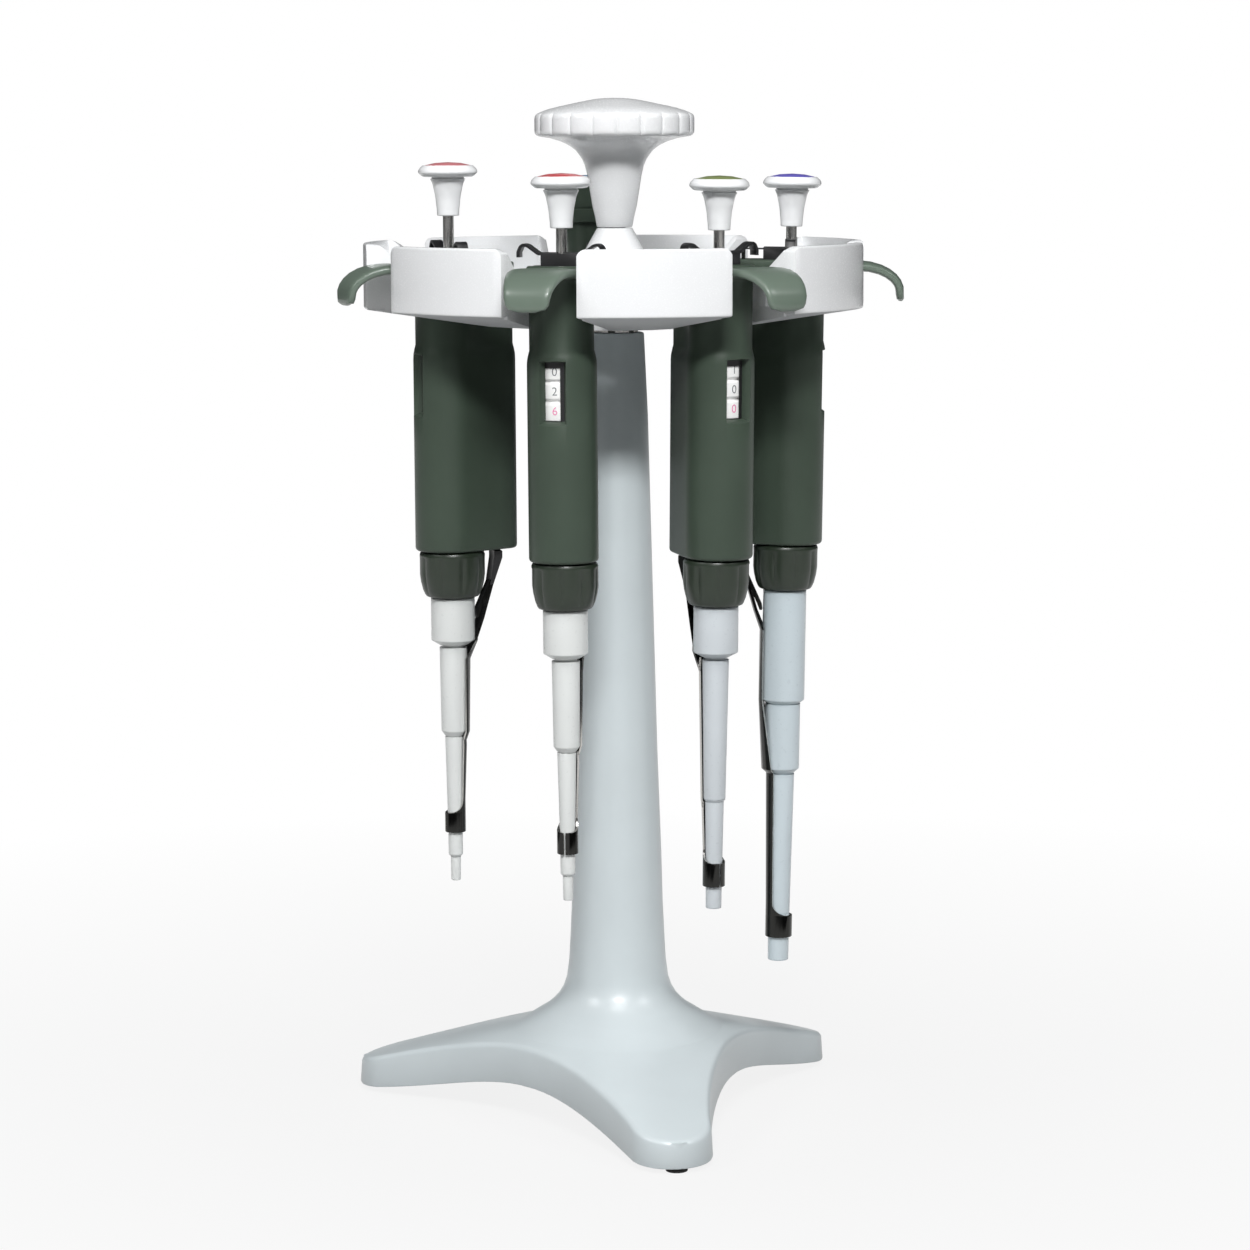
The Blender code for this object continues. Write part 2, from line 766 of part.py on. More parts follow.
def make_ring(axle, surface):
    """Seven trays round a conical hub, with an open bay between each two."""
    inner = BAY_ROUND_CENTRE - BAY_HALF_WIDTH - BAY_WALL
    bore = bore_radius(SPINDLE_RADIUS + GAP, RING_STEPS)
    hub_floor = HUB_UNDERSIDE + TRAY_FLOOR - GAP
    envelope = [
        (bore, HUB_TOP),
        (bore, HUB_UNDERSIDE),
        (HUB_FLAT_RADIUS, HUB_UNDERSIDE),
        (TRAY_INNER_RADIUS, TRAY_INNER_UNDERSIDE),
        (TRAY_MID_RADIUS, TRAY_MID_UNDERSIDE),
        (RING_RADIUS - PANEL_EDGE, RING_LOWER_EDGE),
        (RING_RADIUS, RING_LOWER_EDGE + PANEL_EDGE),
        (RING_RADIUS, RING_TOP - PANEL_EDGE),
        (RING_RADIUS - PANEL_EDGE, RING_TOP),
        (RING_RADIUS - 1.7 * RING_WALL, RING_TOP),
        (WALL_SHOULDER_RADIUS, WALL_SHOULDER_TOP),
        (WALL_INNER_RADIUS, WALL_INNER_TOP),
        (inner - 0.5 * PANEL_EDGE, WALL_ROOT_TOP),
        (inner - PANEL_EDGE, hub_floor),
        (HUB_CONE_FOOT_RADIUS, hub_floor),
        (HUB_CONE_TOP_RADIUS, HUB_TOP),
    ]
    ring = finish("carousel_ring", spun(envelope, RING_STEPS), surface)

    above = RING_TOP + RING_WALL
    pocket_inner = inner - 1.6 * PANEL_EDGE
    pocket = [
        (RING_RADIUS - RING_WALL, above),
        (RING_RADIUS - RING_WALL, RING_LOWER_EDGE + TRAY_FLOOR),
        (TRAY_MID_RADIUS, TRAY_MID_UNDERSIDE + TRAY_FLOOR),
        (TRAY_INNER_RADIUS, TRAY_INNER_UNDERSIDE + TRAY_FLOOR),
        (pocket_inner, hub_floor + GAP),
        (pocket_inner, above),
    ]
    trays = finish("tray_pockets", spun(pocket, RING_STEPS))
    walls = []
    bays = []
    mouths = []
    lugs = []
    for index in range(BAY_COUNT):
        turn = math.radians(bay_bearing(index) - 90.0)
        low = HUB_UNDERSIDE - RING_WALL
        wall = bay_outline(BAY_HALF_WIDTH + BAY_WALL, RING_RADIUS + RING_WALL)
        walls.append(prism(wall, low, above + RING_WALL, turn))
        bay = bay_outline(BAY_HALF_WIDTH, RING_RADIUS + 2 * RING_WALL)
        bays.append(prism(bay, low, above, turn))
        mouths.append(bay_mouth(turn))
        for side in (-1, 1):
            lugs.append(make_lug(side, turn))
    combine(trays, [finish("bay_walls", merged(walls))], "DIFFERENCE", triangles=True)
    combine(ring, [trays], "DIFFERENCE", triangles=True)
    combine(ring, [finish("bays", merged(bays))], "DIFFERENCE", triangles=True)
    combine(ring, [finish("bay_mouths", merged(mouths))], "DIFFERENCE", triangles=True)
    combine(ring, [finish("lugs", merged(lugs))], "UNION", triangles=True)
    return place(ring, axle)


def make_lug(side, turn):
    """A lug on a bay's wall, under the root of the pipette's hook."""
    near = side * (BAY_HALF_WIDTH - LUG_REACH)
    far = side * (BAY_HALF_WIDTH + 0.4 * BAY_WALL)
    outline = [
        (LUG_INNER_RADIUS, near),
        (LUG_INNER_RADIUS + LUG_LENGTH, near),
        (LUG_INNER_RADIUS + LUG_LENGTH, far),
        (LUG_INNER_RADIUS, far),
    ]
    top = SEAT_HEIGHT - GAP
    return prism(outline, top - LUG_HEIGHT, top, turn)


def make_knob(axle, surface):
    """A trumpet-shaped knob with a fluted rim and a blind bore."""
    foot = HUB_TOP + GAP
    steps = 2 * KNOB_FLUTES
    bore = bore_radius(SPINDLE_RADIUS + GAP, steps)
    bore_top = foot + GAP + SPINDLE_IN_KNOB + GAP

    def fluted(radius, height, depth):
        ring = circle(radius, foot + height, steps)
        flute = (radius - depth) / radius
        return [
            (x * flute, y * flute, z) if i % 2 else (x, y, z)
            for i, (x, y, z) in enumerate(ring)
        ]

    rings = [circle(bore, bore_top, steps), circle(bore, foot, steps)]
    rings.extend(circle(radius, foot + height, steps) for radius, height in KNOB_STATIONS)
    rim = KNOB_RIM_RADIUS
    depth = KNOB_FLUTE_DEPTH
    rings.append(fluted(rim, KNOB_RIM_BOTTOM, depth))
    rings.append(fluted(rim, KNOB_RIM_TOP, depth))
    rings.append(circle(rim - 2 * PANEL_EDGE, foot + KNOB_RIM_TOP + PANEL_EDGE, steps))
    rings.extend(circle(radius, foot + height, steps) for radius, height in KNOB_CROWN)
    rings.append(circle(0.5 * KNOB_CROWN[-1][0], foot + KNOB_HEIGHT, steps))
    obj = finish("knob", lofted(rings), surface)
    return place(obj, axle)


def handle_section(depth, inset=0.0, pinch=0.0):
    """The handle's section at this height: a round body that holds the plunger,
    and a narrower spine behind it. -Y looks out of the carousel."""
    body = BODY_RADIUS - inset
    spine = SPINE_RADIUS - inset
    span = SPINE_OFFSET + BODY_OFFSET
    tilt = math.asin((body - spine) / span)
    points = []
    start = math.pi / 2 - tilt
    for i in range(10):
        a = start + (math.tau - 2 * start) * i / 9
        points.append((body * math.sin(a), -BODY_OFFSET + body * math.cos(a), depth))
    first_side = points[-1]
    spine_arc = []
    for i in range(5):
        a = -start + 2 * start * i / 4
        spine_arc.append((spine * math.sin(a), SPINE_OFFSET + spine * math.cos(a), depth))
    for share in (0.33, 0.67):
        points.append(side_point(first_side, spine_arc[0], share, pinch, 1.0))
    points.extend(spine_arc)
    for share in (0.33, 0.67):
        points.append(side_point(spine_arc[-1], points[0], share, pinch, -1.0))
    return points


def side_point(a, b, share, pinch, sign):
    x = a[0] + (b[0] - a[0]) * share
    y = a[1] + (b[1] - a[1]) * share
    return (x + sign * pinch, y, a[2])


def hook_stations():
    """Middle line of the finger hook: (reach outwards, height, half width, half
    thickness). It leaves the head level, then turns down outside the ring."""
    root = HOOK_ROOT_HALF_WIDTH
    tip = HOOK_TIP_HALF_WIDTH
    half = HOOK_THICKNESS / 2
    flat = 0.62 * HOOK_REACH
    bend = HOOK_REACH - flat
    level = half + 0.0003
    stations = [
        (0.16 * HOOK_REACH, half, root, half),
        (0.40 * HOOK_REACH, half, root, half),
        (flat, level, 0.95 * root, half),
    ]
    turns = ((0.34, 0.86), (0.64, 0.78), (0.90, 0.72))
    for share, _ in turns:
        a = share * math.pi / 2
        reach = flat + bend * math.sin(a)
        height = level - HOOK_DROP * 0.72 * (1.0 - math.cos(a))
        width = root + (tip - root) * min(1.0, share + 0.15)
        stations.append((reach, height, width, half * (1.0 - 0.15 * share)))
    stations.append((HOOK_REACH, level - 0.80 * HOOK_DROP, 0.94 * tip, 0.8 * half))
    stations.append((HOOK_REACH + 0.0002, level - HOOK_DROP + 0.4 * half, 0.62 * tip, 0.7 * half))
    return stations


def hook_ring(station, heading):
    """Section of the hook, square to its middle line."""
    reach, height, width, thick = station
    across = Vector((1.0, 0.0, 0.0))
    normal = Vector((0.0, heading[1], heading[0]))
    centre = Vector((0.0, -reach, height))
    ring = []
    flat = 0.72
    for x, z in (
        (-1.0, -0.35),
        (-flat, -1.0),
        (0.0, -1.0),
        (flat, -1.0),
        (1.0, -0.35),
        (1.0, 0.35),
        (flat, 1.0),
        (0.0, 1.0),
        (-flat, 1.0),
        (-1.0, 0.35),
    ):
        ring.append(tuple(centre + across * (x * width) + normal * (z * thick)))
    return ring


def make_hook():
    stations = hook_stations()
    rings = []
    for i, station in enumerate(stations):
        before = stations[max(i - 1, 0)]
        after = stations[min(i + 1, len(stations) - 1)]
        run = after[0] - before[0]
        rise = after[1] - before[1]
        length = math.hypot(run, rise)
        rings.append(hook_ring(station, (run / length, rise / length)))
    return finish("hook", lofted(rings))


def button_foot(pipette):
    """Height above the seat at which the rod goes into the plunger's button."""
    if pipette["tall"]:
        return NECK_HEIGHT + TALL_STROKE + 2 * GAP
    return HEAD_HEIGHT + pipette["button_rise"]


def button_stroke(pipette):
    """How far the button goes down before it meets the piece under it."""
    if pipette["tall"]:
        return TALL_STROKE
    return button_foot(pipette) - EJECTOR_TOP - 2 * GAP


def make_handle(pipette, frame, surface):
    """Moulded handle with finger hook, window, bores and ejector channel."""
    tall = pipette["tall"]
    top = HEAD_HEIGHT
    pinch = WAIST_PINCH
    edge = HANDLE_EDGE
    rings = [
        handle_section(-HANDLE_LENGTH, 1.5 * edge),
        handle_section(-HANDLE_LENGTH + 1.5 * edge, 0.2 * edge),
        handle_section(-GRIP_SHOULDER - 4 * edge),
        handle_section(-GRIP_SHOULDER, 0.5 * edge, 0.6 * pinch),
        handle_section(-GRIP_SHOULDER + 2 * edge, edge, pinch),
        handle_section(-2 * edge, edge, pinch),
        handle_section(edge, 0.2 * edge),
        handle_section(top - edge, 0.2 * edge),
        handle_section(top, edge),
    ]
    name = pipette["name"] + "_handle"
    body = finish(name, lofted(rings), surface)

    wheel_top = -WINDOW_TOP + GAP
    wheel_foot = wheel_top - WINDOW_HEIGHT
    bore = bore_radius(ROD_RADIUS + ROD_CLEARANCE, SLIM)
    room = bore_radius(WHEEL_RADIUS + WHEEL_CLEARANCE, ROUND)
    channel = bore_radius(ARM_RADIUS + ARM_CLEARANCE, SLIM)
    socket = bore_radius(SOCKET_RADIUS + GAP, ROUND)
    bore_foot = -ROD_DEPTH - rod_stroke_room()
    above = top + HEAD_HEIGHT + (NECK_HEIGHT if tall else 0.0)
    cutters = [
        finish("rod_bore", lofted([circle(bore, bore_foot, SLIM), circle(bore, above, SLIM)])),
        finish(
            "wheel_room",
            lofted([circle(room, wheel_foot, ROUND), circle(room, wheel_top, ROUND)]),
        ),
        finish("window", lofted(window_rings(wheel_top, wheel_foot))),
        finish(
            "arm_channel",
            lofted(
                [
                    circle(channel, -HANDLE_LENGTH - HEAD_HEIGHT, SLIM, (0.0, ARM_OFFSET)),
                    circle(channel, above, SLIM, (0.0, ARM_OFFSET)),
                ]
            ),
        ),
        finish(
            "socket",
            lofted(
                [
                    circle(socket, -HANDLE_LENGTH - HEAD_HEIGHT, ROUND),
                    circle(socket, -HANDLE_LENGTH + SOCKET_DEPTH, ROUND),
                ]
            ),
        ),
    ]
    added = [make_hook()]
    if tall:
        added.append(make_neck())
        cutters.append(finish("push_pocket", lofted(push_pocket_rings(top))))
    else:
        cutters.append(finish("ejector_pocket", lofted(pocket_rings(top))))
        cutters.append(finish("strap_notch", lofted(notch_rings(top))))
        cutters.append(finish("tail_slot", lofted(slot_rings(top))))
    combine(body, added, "UNION")
    combine(body, cutters, "DIFFERENCE")
    return place(body, frame)


def make_neck():
    """The round neck that the tall pipette's button slides over."""
    rings = [
        circle(NECK_RADIUS, 0.0, ROUND),
        circle(NECK_RADIUS, NECK_HEIGHT - HANDLE_EDGE, ROUND),
        circle(NECK_RADIUS - HANDLE_EDGE, NECK_HEIGHT, ROUND),
    ]
    return finish("neck", lofted(rings))


def rod_stroke_room():
    """Depth kept free below the rod for the longest stroke."""
    return max(button_stroke(pipette) for pipette in PIPETTES) + 2 * GAP


def window_rings(top, foot):
    """A bevelled opening through the front of the handle."""
    rings = []
    face = BODY_RADIUS + BODY_OFFSET
    wide = WINDOW_WIDTH / 2
    reach = face - WHEEL_RADIUS + WHEEL_CLEARANCE
    bevel = WINDOW_BEVEL / reach
    for depth in (-0.25 * reach, 1.3 * reach):
        cut = bevel * depth
        y = -face + depth
        rings.append(
            [
                (-wide + cut, y, foot + cut),
                (wide - cut, y, foot + cut),
                (wide - cut, y, top - cut),
                (-wide + cut, y, top - cut),
            ]
        )
    return rings


def pocket_rings(top):
    """Room for the ejector's skirt to sink into the head."""
    side = EJECTOR_HALF_WIDTH - HANDLE_EDGE + GAP
    front = -EJECTOR_FRONT - GAP
    back = EJECTOR_BACK + GAP
    floor = top - skirt_depth() - EJECTOR_STROKE - GAP
    corners = ((-side, front), (side, front), (side, back), (-side, back))
    return [[(x, y, z) for x, y in corners] for z in (floor, top + HEAD_HEIGHT)]


def push_pocket_rings(top):
    """Round pocket for the tall pipette's ejector button."""
    pocket = bore_radius(PUSH_RADIUS + GAP, SLIM)
    floor = top - skirt_depth() - EJECTOR_STROKE - GAP
    return [circle(pocket, z, SLIM, (0.0, ARM_OFFSET)) for z in (floor, top + HEAD_HEIGHT)]


def plate_room_floor(top):
    """Lowest height that the ejector's plate needs free in the head."""
    room = EJECTOR_TOP - EJECTOR_PLATE - HEAD_HEIGHT
    return top - (EJECTOR_STROKE - room) - GAP


def notch_rings(top):
    """Notch across the head that lets the ejector's ears go down."""
    side = 1.3 * BODY_RADIUS
    half = EAR_WIDTH / 2 + GAP
    corners = ((-side, -half), (side, -half), (side, half), (-side, half))
    return [[(x, y, z) for x, y in corners] for z in (plate_room_floor(top), top + HEAD_HEIGHT)]


def slot_rings(top):
    """Slot in the spine that lets the ejector's tail go down above the arm."""
    side = EJECTOR_TAIL_HALF_WIDTH + GAP
    back = EJECTOR_TAIL_BACK + GAP
    corners = ((-side, 0.0), (side, 0.0), (side, back), (-side, back))
    return [[(x, y, z) for x, y in corners] for z in (plate_room_floor(top), top + HEAD_HEIGHT)]


def skirt_depth():
    """How far the ejector's skirt reaches below the top of the head at rest."""
    return 0.4 * HEAD_HEIGHT


def make_ejector(pipette, frame, surface):
    """Ejector button: a plate with an arched ear each side and a tail over the
    arm, on a skirt. The tall pipette has a plain round one."""
    top = EJECTOR_TOP
    plate = top - EJECTOR_PLATE
    side = EJECTOR_HALF_WIDTH - HANDLE_EDGE
    foot = HEAD_HEIGHT - skirt_depth()
    if pipette["tall"]:
        edge = 0.5 * HANDLE_EDGE
        spots = ((PUSH_RADIUS, foot), (PUSH_RADIUS, top - edge), (PUSH_RADIUS - edge, top))
        pin = [circle(radius, z, SLIM, (0.0, ARM_OFFSET)) for radius, z in spots]
        place(finish(pipette["name"] + "_ejector", lofted(pin), surface), frame)
        return
    corners = ((-side, -EJECTOR_FRONT), (side, -EJECTOR_FRONT), (side, EJECTOR_BACK), (-side, EJECTOR_BACK))
    rings = [[(x, y, z) for x, y in corners] for z in (foot, top - 0.3 * EJECTOR_PLATE)]
    body = finish(pipette["name"] + "_ejector", lofted(rings), surface)

    half = EAR_WIDTH / 2
    line = [
        (-EAR_REACH, top - EAR_DROP),
        (-EAR_REACH + 0.35 * EAR_STRAP, top + 0.35 * EAR_HEIGHT),
        (-EAR_APEX - 0.5 * EAR_STRAP, top + 0.95 * EAR_HEIGHT),
        (-EAR_APEX + 1.0 * EAR_STRAP, top + 0.9 * EAR_HEIGHT),
        (-EJECTOR_HALF_WIDTH - 1.2 * EAR_STRAP, top),
        (EJECTOR_HALF_WIDTH + 1.2 * EAR_STRAP, top),
        (EAR_APEX - 1.0 * EAR_STRAP, top + 0.9 * EAR_HEIGHT),
        (EAR_APEX + 0.5 * EAR_STRAP, top + 0.95 * EAR_HEIGHT),
        (EAR_REACH - 0.35 * EAR_STRAP, top + 0.35 * EAR_HEIGHT),
        (EAR_REACH, top - EAR_DROP),
    ]
    strap = EAR_STRAP
    lower = [
        (-EAR_REACH + strap, top - EAR_DROP),
        (-EAR_REACH + 1.35 * strap, top + 0.2 * EAR_HEIGHT),
        (-EAR_APEX, top + 0.95 * EAR_HEIGHT - strap),
        (-EAR_APEX + 0.8 * strap, top + 0.85 * EAR_HEIGHT - strap),
        (-EJECTOR_HALF_WIDTH - 1.2 * strap, plate),
        (EJECTOR_HALF_WIDTH + 1.2 * strap, plate),
        (EAR_APEX - 0.8 * strap, top + 0.85 * EAR_HEIGHT - strap),
        (EAR_APEX, top + 0.95 * EAR_HEIGHT - strap),
        (EAR_REACH - 1.35 * strap, top + 0.2 * EAR_HEIGHT),
        (EAR_REACH - strap, top - EAR_DROP),
    ]
    outline = line + lower[::-1]
    rings = [[(x, y, z) for x, z in outline] for y in (-half, half)]
    ears = finish("ears", lofted(rings))
    hole = bore_radius(ROD_RADIUS + GAP, SLIM)
    rod_hole = finish(
        "rod_hole",
        lofted([circle(hole, foot - HEAD_HEIGHT, SLIM), circle(hole, top + HEAD_HEIGHT, SLIM)]),
    )
    half = EJECTOR_TAIL_HALF_WIDTH
    front = 0.5 * EJECTOR_BACK
    back = EJECTOR_TAIL_BACK
    corners = ((-half, front), (half, front), (half, back), (-half, back))
    low = top - 0.6 * EJECTOR_PLATE
    tail = finish("tail", lofted([[(x, y, z) for x, y in corners] for z in (plate, low)]))
    combine(body, [ears, tail], "UNION")
    combine(body, [rod_hole], "DIFFERENCE")
    place(body, frame)


def make_plunger(pipette, frame, steel, plastic):
    """Steel rod, button and the coloured disc in the button's top."""
    foot = button_foot(pipette)
    name = pipette["name"]
    deep = TALL_ROD_IN_BUTTON if pipette["tall"] else ROD_IN_BUTTON
    rod_top = foot + deep - GAP
    chamfer = 0.2 * ROD_RADIUS
    rod = [
        (0.0, -ROD_DEPTH),
        (ROD_RADIUS - chamfer, -ROD_DEPTH),
        (ROD_RADIUS, -ROD_DEPTH + chamfer),
        (ROD_RADIUS, rod_top),
        (0.0, rod_top),
    ]
    place(finish(name + "_plunger_rod", spun(rod, SLIM), steel), frame)

    bore = bore_radius(ROD_RADIUS + ROD_CLEARANCE, ROUND)
    if pipette["tall"]:
        skin = tall_button_skin(foot)
    else:
        skin = button_skin(foot)
    rim = skin[-1][1]
    dish = CAP_RADIUS + GAP
    button = [(0.0, foot + deep), (bore, foot + deep), (bore, foot)] + skin
    button.append((dish, rim))
    button.append((dish, rim - CAP_THICKNESS))
    button.append((0.0, rim - CAP_THICKNESS))
    place(finish(name + "_plunger_button", spun(button, ROUND), plastic), frame)

    tint = material(name + "_cap", pipette["colour"], 0.4)
    low = rim - CAP_THICKNESS + GAP
    dome = CAP_DOME
    disc = [
        (0.0, low),
        (CAP_RADIUS, low),
        (CAP_RADIUS, rim),
        (0.55 * CAP_RADIUS, rim + 0.75 * dome),
        (0.0, rim + dome),
    ]
    place(finish(name + "_colour_cap", spun(disc, ROUND), tint), frame)


def button_skin(foot):
    """Profile of a button from its foot up to the rim round its disc."""
    head = foot + BUTTON_STEM_LENGTH
    flare = BUTTON_NECK_RADIUS - BUTTON_STEM_RADIUS
    rim = head + BUTTON_HEAD_HEIGHT - CAP_DOME
    return [
        (BUTTON_STEM_RADIUS, foot),
        (BUTTON_STEM_RADIUS + 0.25 * flare, foot + 0.5 * BUTTON_STEM_LENGTH),
        (BUTTON_STEM_RADIUS + 0.65 * flare, foot + 0.82 * BUTTON_STEM_LENGTH),
        (BUTTON_NECK_RADIUS, head),
        (0.84 * BUTTON_HEAD_RADIUS, head),
        (BUTTON_HEAD_RADIUS, head + 0.30 * BUTTON_HEAD_HEIGHT),
        (0.95 * BUTTON_HEAD_RADIUS, head + 0.55 * BUTTON_HEAD_HEIGHT),
        (CAP_RADIUS + 2 * GAP, rim),
    ]


def tall_button_skin(foot):
    """The same for the skirted button that slides over the neck."""
    inner = bore_radius(NECK_RADIUS + GAP, ROUND)
    outer = TALL_BUTTON_RADIUS
    rim = foot + TALL_BUTTON_CROWN - CAP_DOME
    bottom = foot + TALL_BUTTON_CROWN - TALL_BUTTON_LENGTH
    return [
        (inner, foot),
        (inner, bottom),
        (outer - PANEL_EDGE, bottom),
        (outer, bottom + PANEL_EDGE),
        (outer, rim - PANEL_EDGE),
        (CAP_RADIUS + 2 * GAP, rim),
    ]


def make_wheels(pipette, frame, surface):
    """Stack of number wheels round the plunger's rod, behind the window."""
    bore = bore_radius(ROD_RADIUS + ROD_CLEARANCE, SLIM)
    top = -WINDOW_TOP
    foot = -WINDOW_TOP - WINDOW_HEIGHT + 2 * GAP
    pitch = (top - foot) / WHEEL_COUNT
    groove = WHEEL_GROOVE
    profile = [(bore, top), (bore, foot), (WHEEL_RADIUS, foot)]
    for i in range(1, WHEEL_COUNT):
        height = foot + i * pitch
        profile.append((WHEEL_RADIUS, height - groove))
        profile.append((WHEEL_RADIUS - groove, height))
        profile.append((WHEEL_RADIUS, height + groove))
    profile.append((WHEEL_RADIUS, top))
    place(finish(pipette["name"] + "_number_wheels", spun(profile, ROUND), surface), frame)


def make_nut(pipette, frame, surface):
    """Fluted nut that holds the nozzle, drawn in at its lower end."""
    top = -HANDLE_LENGTH - GAP
    foot = top - NUT_LENGTH
    steps = 2 * NUT_FLUTES
    bore = bore_radius(SOCKET_RADIUS + GAP, steps)
    depth = NUT_FLUTE_DEPTH

    def fluted(radius, height, cut):
        ring = circle(radius, height, steps)
        share = (radius - cut) / radius
        return [
            (x * share, y * share, z) if i % 2 else (x, y, z)
            for i, (x, y, z) in enumerate(ring)
        ]

    rings = [
        circle(bore, top, steps),
        circle(NUT_RADIUS - depth, top, steps),
        fluted(NUT_RADIUS, top - 0.12 * NUT_LENGTH, depth),
        fluted(NUT_RADIUS, top - 0.55 * NUT_LENGTH, depth),
        fluted(0.5 * (NUT_RADIUS + NUT_FOOT_RADIUS), top - 0.88 * NUT_LENGTH, 0.6 * depth),
        circle(NUT_FOOT_RADIUS - depth, foot, steps),
        circle(bore, foot, steps),
    ]
    place(finish(pipette["name"] + "_nut", lofted(rings, closed=True), surface), frame)


def make_nozzle(pipette, frame, surface):
    """The turned shaft under the nut, ending in the cone that takes a tip."""
    stations = list(pipette["nozzle"])
    shoulder = -HANDLE_LENGTH - NUT_LENGTH - 2 * GAP
    profile = [
        (0.0, -HANDLE_LENGTH + SOCKET_DEPTH - GAP),
        (SOCKET_RADIUS, -HANDLE_LENGTH + SOCKET_DEPTH - GAP),
        (SOCKET_RADIUS, shoulder),
        (stations[0][0], shoulder),
    ]
    profile.extend((radius, -depth) for radius, depth in stations[1:])
    profile.append((0.0, -stations[-1][1]))
    place(finish(pipette["name"] + "_nozzle", spun(profile, ROUND), surface), frame)


def nozzle_radius(stations, depth):
    for (r0, d0), (r1, d1) in zip(stations, stations[1:]):
        if d0 <= depth <= d1:
            return r0 + (r1 - r0) * (depth - d0) / (d1 - d0)
    return stations[-1][0]


def arm_line(pipette, outer):
    """The arm's middle line as (offset behind the plunger, height)."""
    if pipette["tall"]:
        top = HEAD_HEIGHT - skirt_depth() - GAP
    else:
        top = EJECTOR_TOP - EJECTOR_PLATE - GAP
    nut_foot = -HANDLE_LENGTH - NUT_LENGTH - GAP
    stations = pipette["nozzle"]
    clear = ARM_RADIUS + 2 * GAP
    collar = stations[0][0]
    neck = next(depth for radius, depth in stations if radius < collar)
    line = [
        (ARM_OFFSET, top),
        (ARM_OFFSET, -HANDLE_LENGTH - 2 * GAP),
        (0.25 * ARM_OFFSET + 0.75 * (NUT_RADIUS + ARM_RADIUS) - GAP, nut_foot),
        (collar + clear, -neck),
    ]
    last = pipette["collar"] - ARM_RADIUS
    for (upper, start), (lower, end) in zip(stations[1:], stations[2:]):
        start = max(start + 3 * ARM_RADIUS, neck + 8 * ARM_RADIUS)
        end = min(end + ARM_RADIUS, last)
        if start + 3 * ARM_RADIUS < end:
            line.append((max(upper, outer - ARM_RADIUS) + clear, -start))
            line.append((max(lower, outer - ARM_RADIUS) + clear, -end))
    line.append((outer, -pipette["collar"] - 0.5 * pipette["collar_length"]))
    return line


def make_arm(pipette, frame, surface):
    """Steel ejector arm: it hangs from the ejector, runs down a channel in the
    handle's spine, leans in past the nut and ends in a collar on the nozzle."""
    stations = pipette["nozzle"]
    depth = pipette["collar"]
    length = pipette["collar_length"]
    inner = nozzle_radius(stations, depth) + GAP
    inner = bore_radius(inner, ROUND)
    outer = inner + ARM_COLLAR_WALL
    line = arm_line(pipette, outer)
    tube = []
    for i, (offset, height) in enumerate(line):
        before = line[max(i - 1, 0)]
        after = line[min(i + 1, len(line) - 1)]
        heading = Vector((0.0, after[0] - before[0], after[1] - before[1])).normalized()
        across = Vector((1.0, 0.0, 0.0))
        normal = heading.cross(across)
        centre = Vector((0.0, offset, height))
        ring = []
        for k in range(6):
            a = math.tau * k / 6
            ring.append(tuple(centre + ARM_RADIUS * (across * math.cos(a) + normal * math.sin(a))))
        tube.append(ring)
    body = finish(pipette["name"] + "_ejector_arm", lofted(tube), surface)

    def sloped(radius, top):
        ring = []
        for x, y, _ in circle(radius, 0.0, ROUND):
            rise = 0.5 + 0.5 * y / radius
            ring.append((x, y, -depth - length + (0.55 + 0.45 * rise) * length if top else -depth - length))
        return ring

    band = [sloped(inner, True), sloped(inner, False), sloped(outer, False), sloped(outer, True)]
    collar = finish("arm_collar", lofted(band, closed=True))
    combine(body, [collar], "UNION")
    hole = finish(
        "arm_hole",
        lofted(
            [
                circle(inner, -depth - 2 * length, ROUND),
                circle(inner, -depth + 0.2 * length, ROUND),
            ]
        ),
    )
    combine(body, [hole], "DIFFERENCE")
    return place(body, frame)


def hang_matrix(pipette):
    """Where a pipette hangs: on its bay's bearing, leaning in at the bottom."""
    turn = bearing_turn(bay_bearing(pipette["bay"]))
    lean = Matrix.Rotation(math.radians(pipette["lean"]), 4, "X")
    sway = Matrix.Rotation(math.radians(pipette["sway"]), 4, "Y")
    move = Matrix.Translation((0.0, -PIPETTE_RADIUS, SEAT_HEIGHT))
    return turn @ move @ lean @ sway


def empty(name, matrix):
    obj = bpy.data.objects.new(name, None)
    bpy.context.scene.collection.objects.link(obj)
    obj.matrix_world = matrix
    return obj


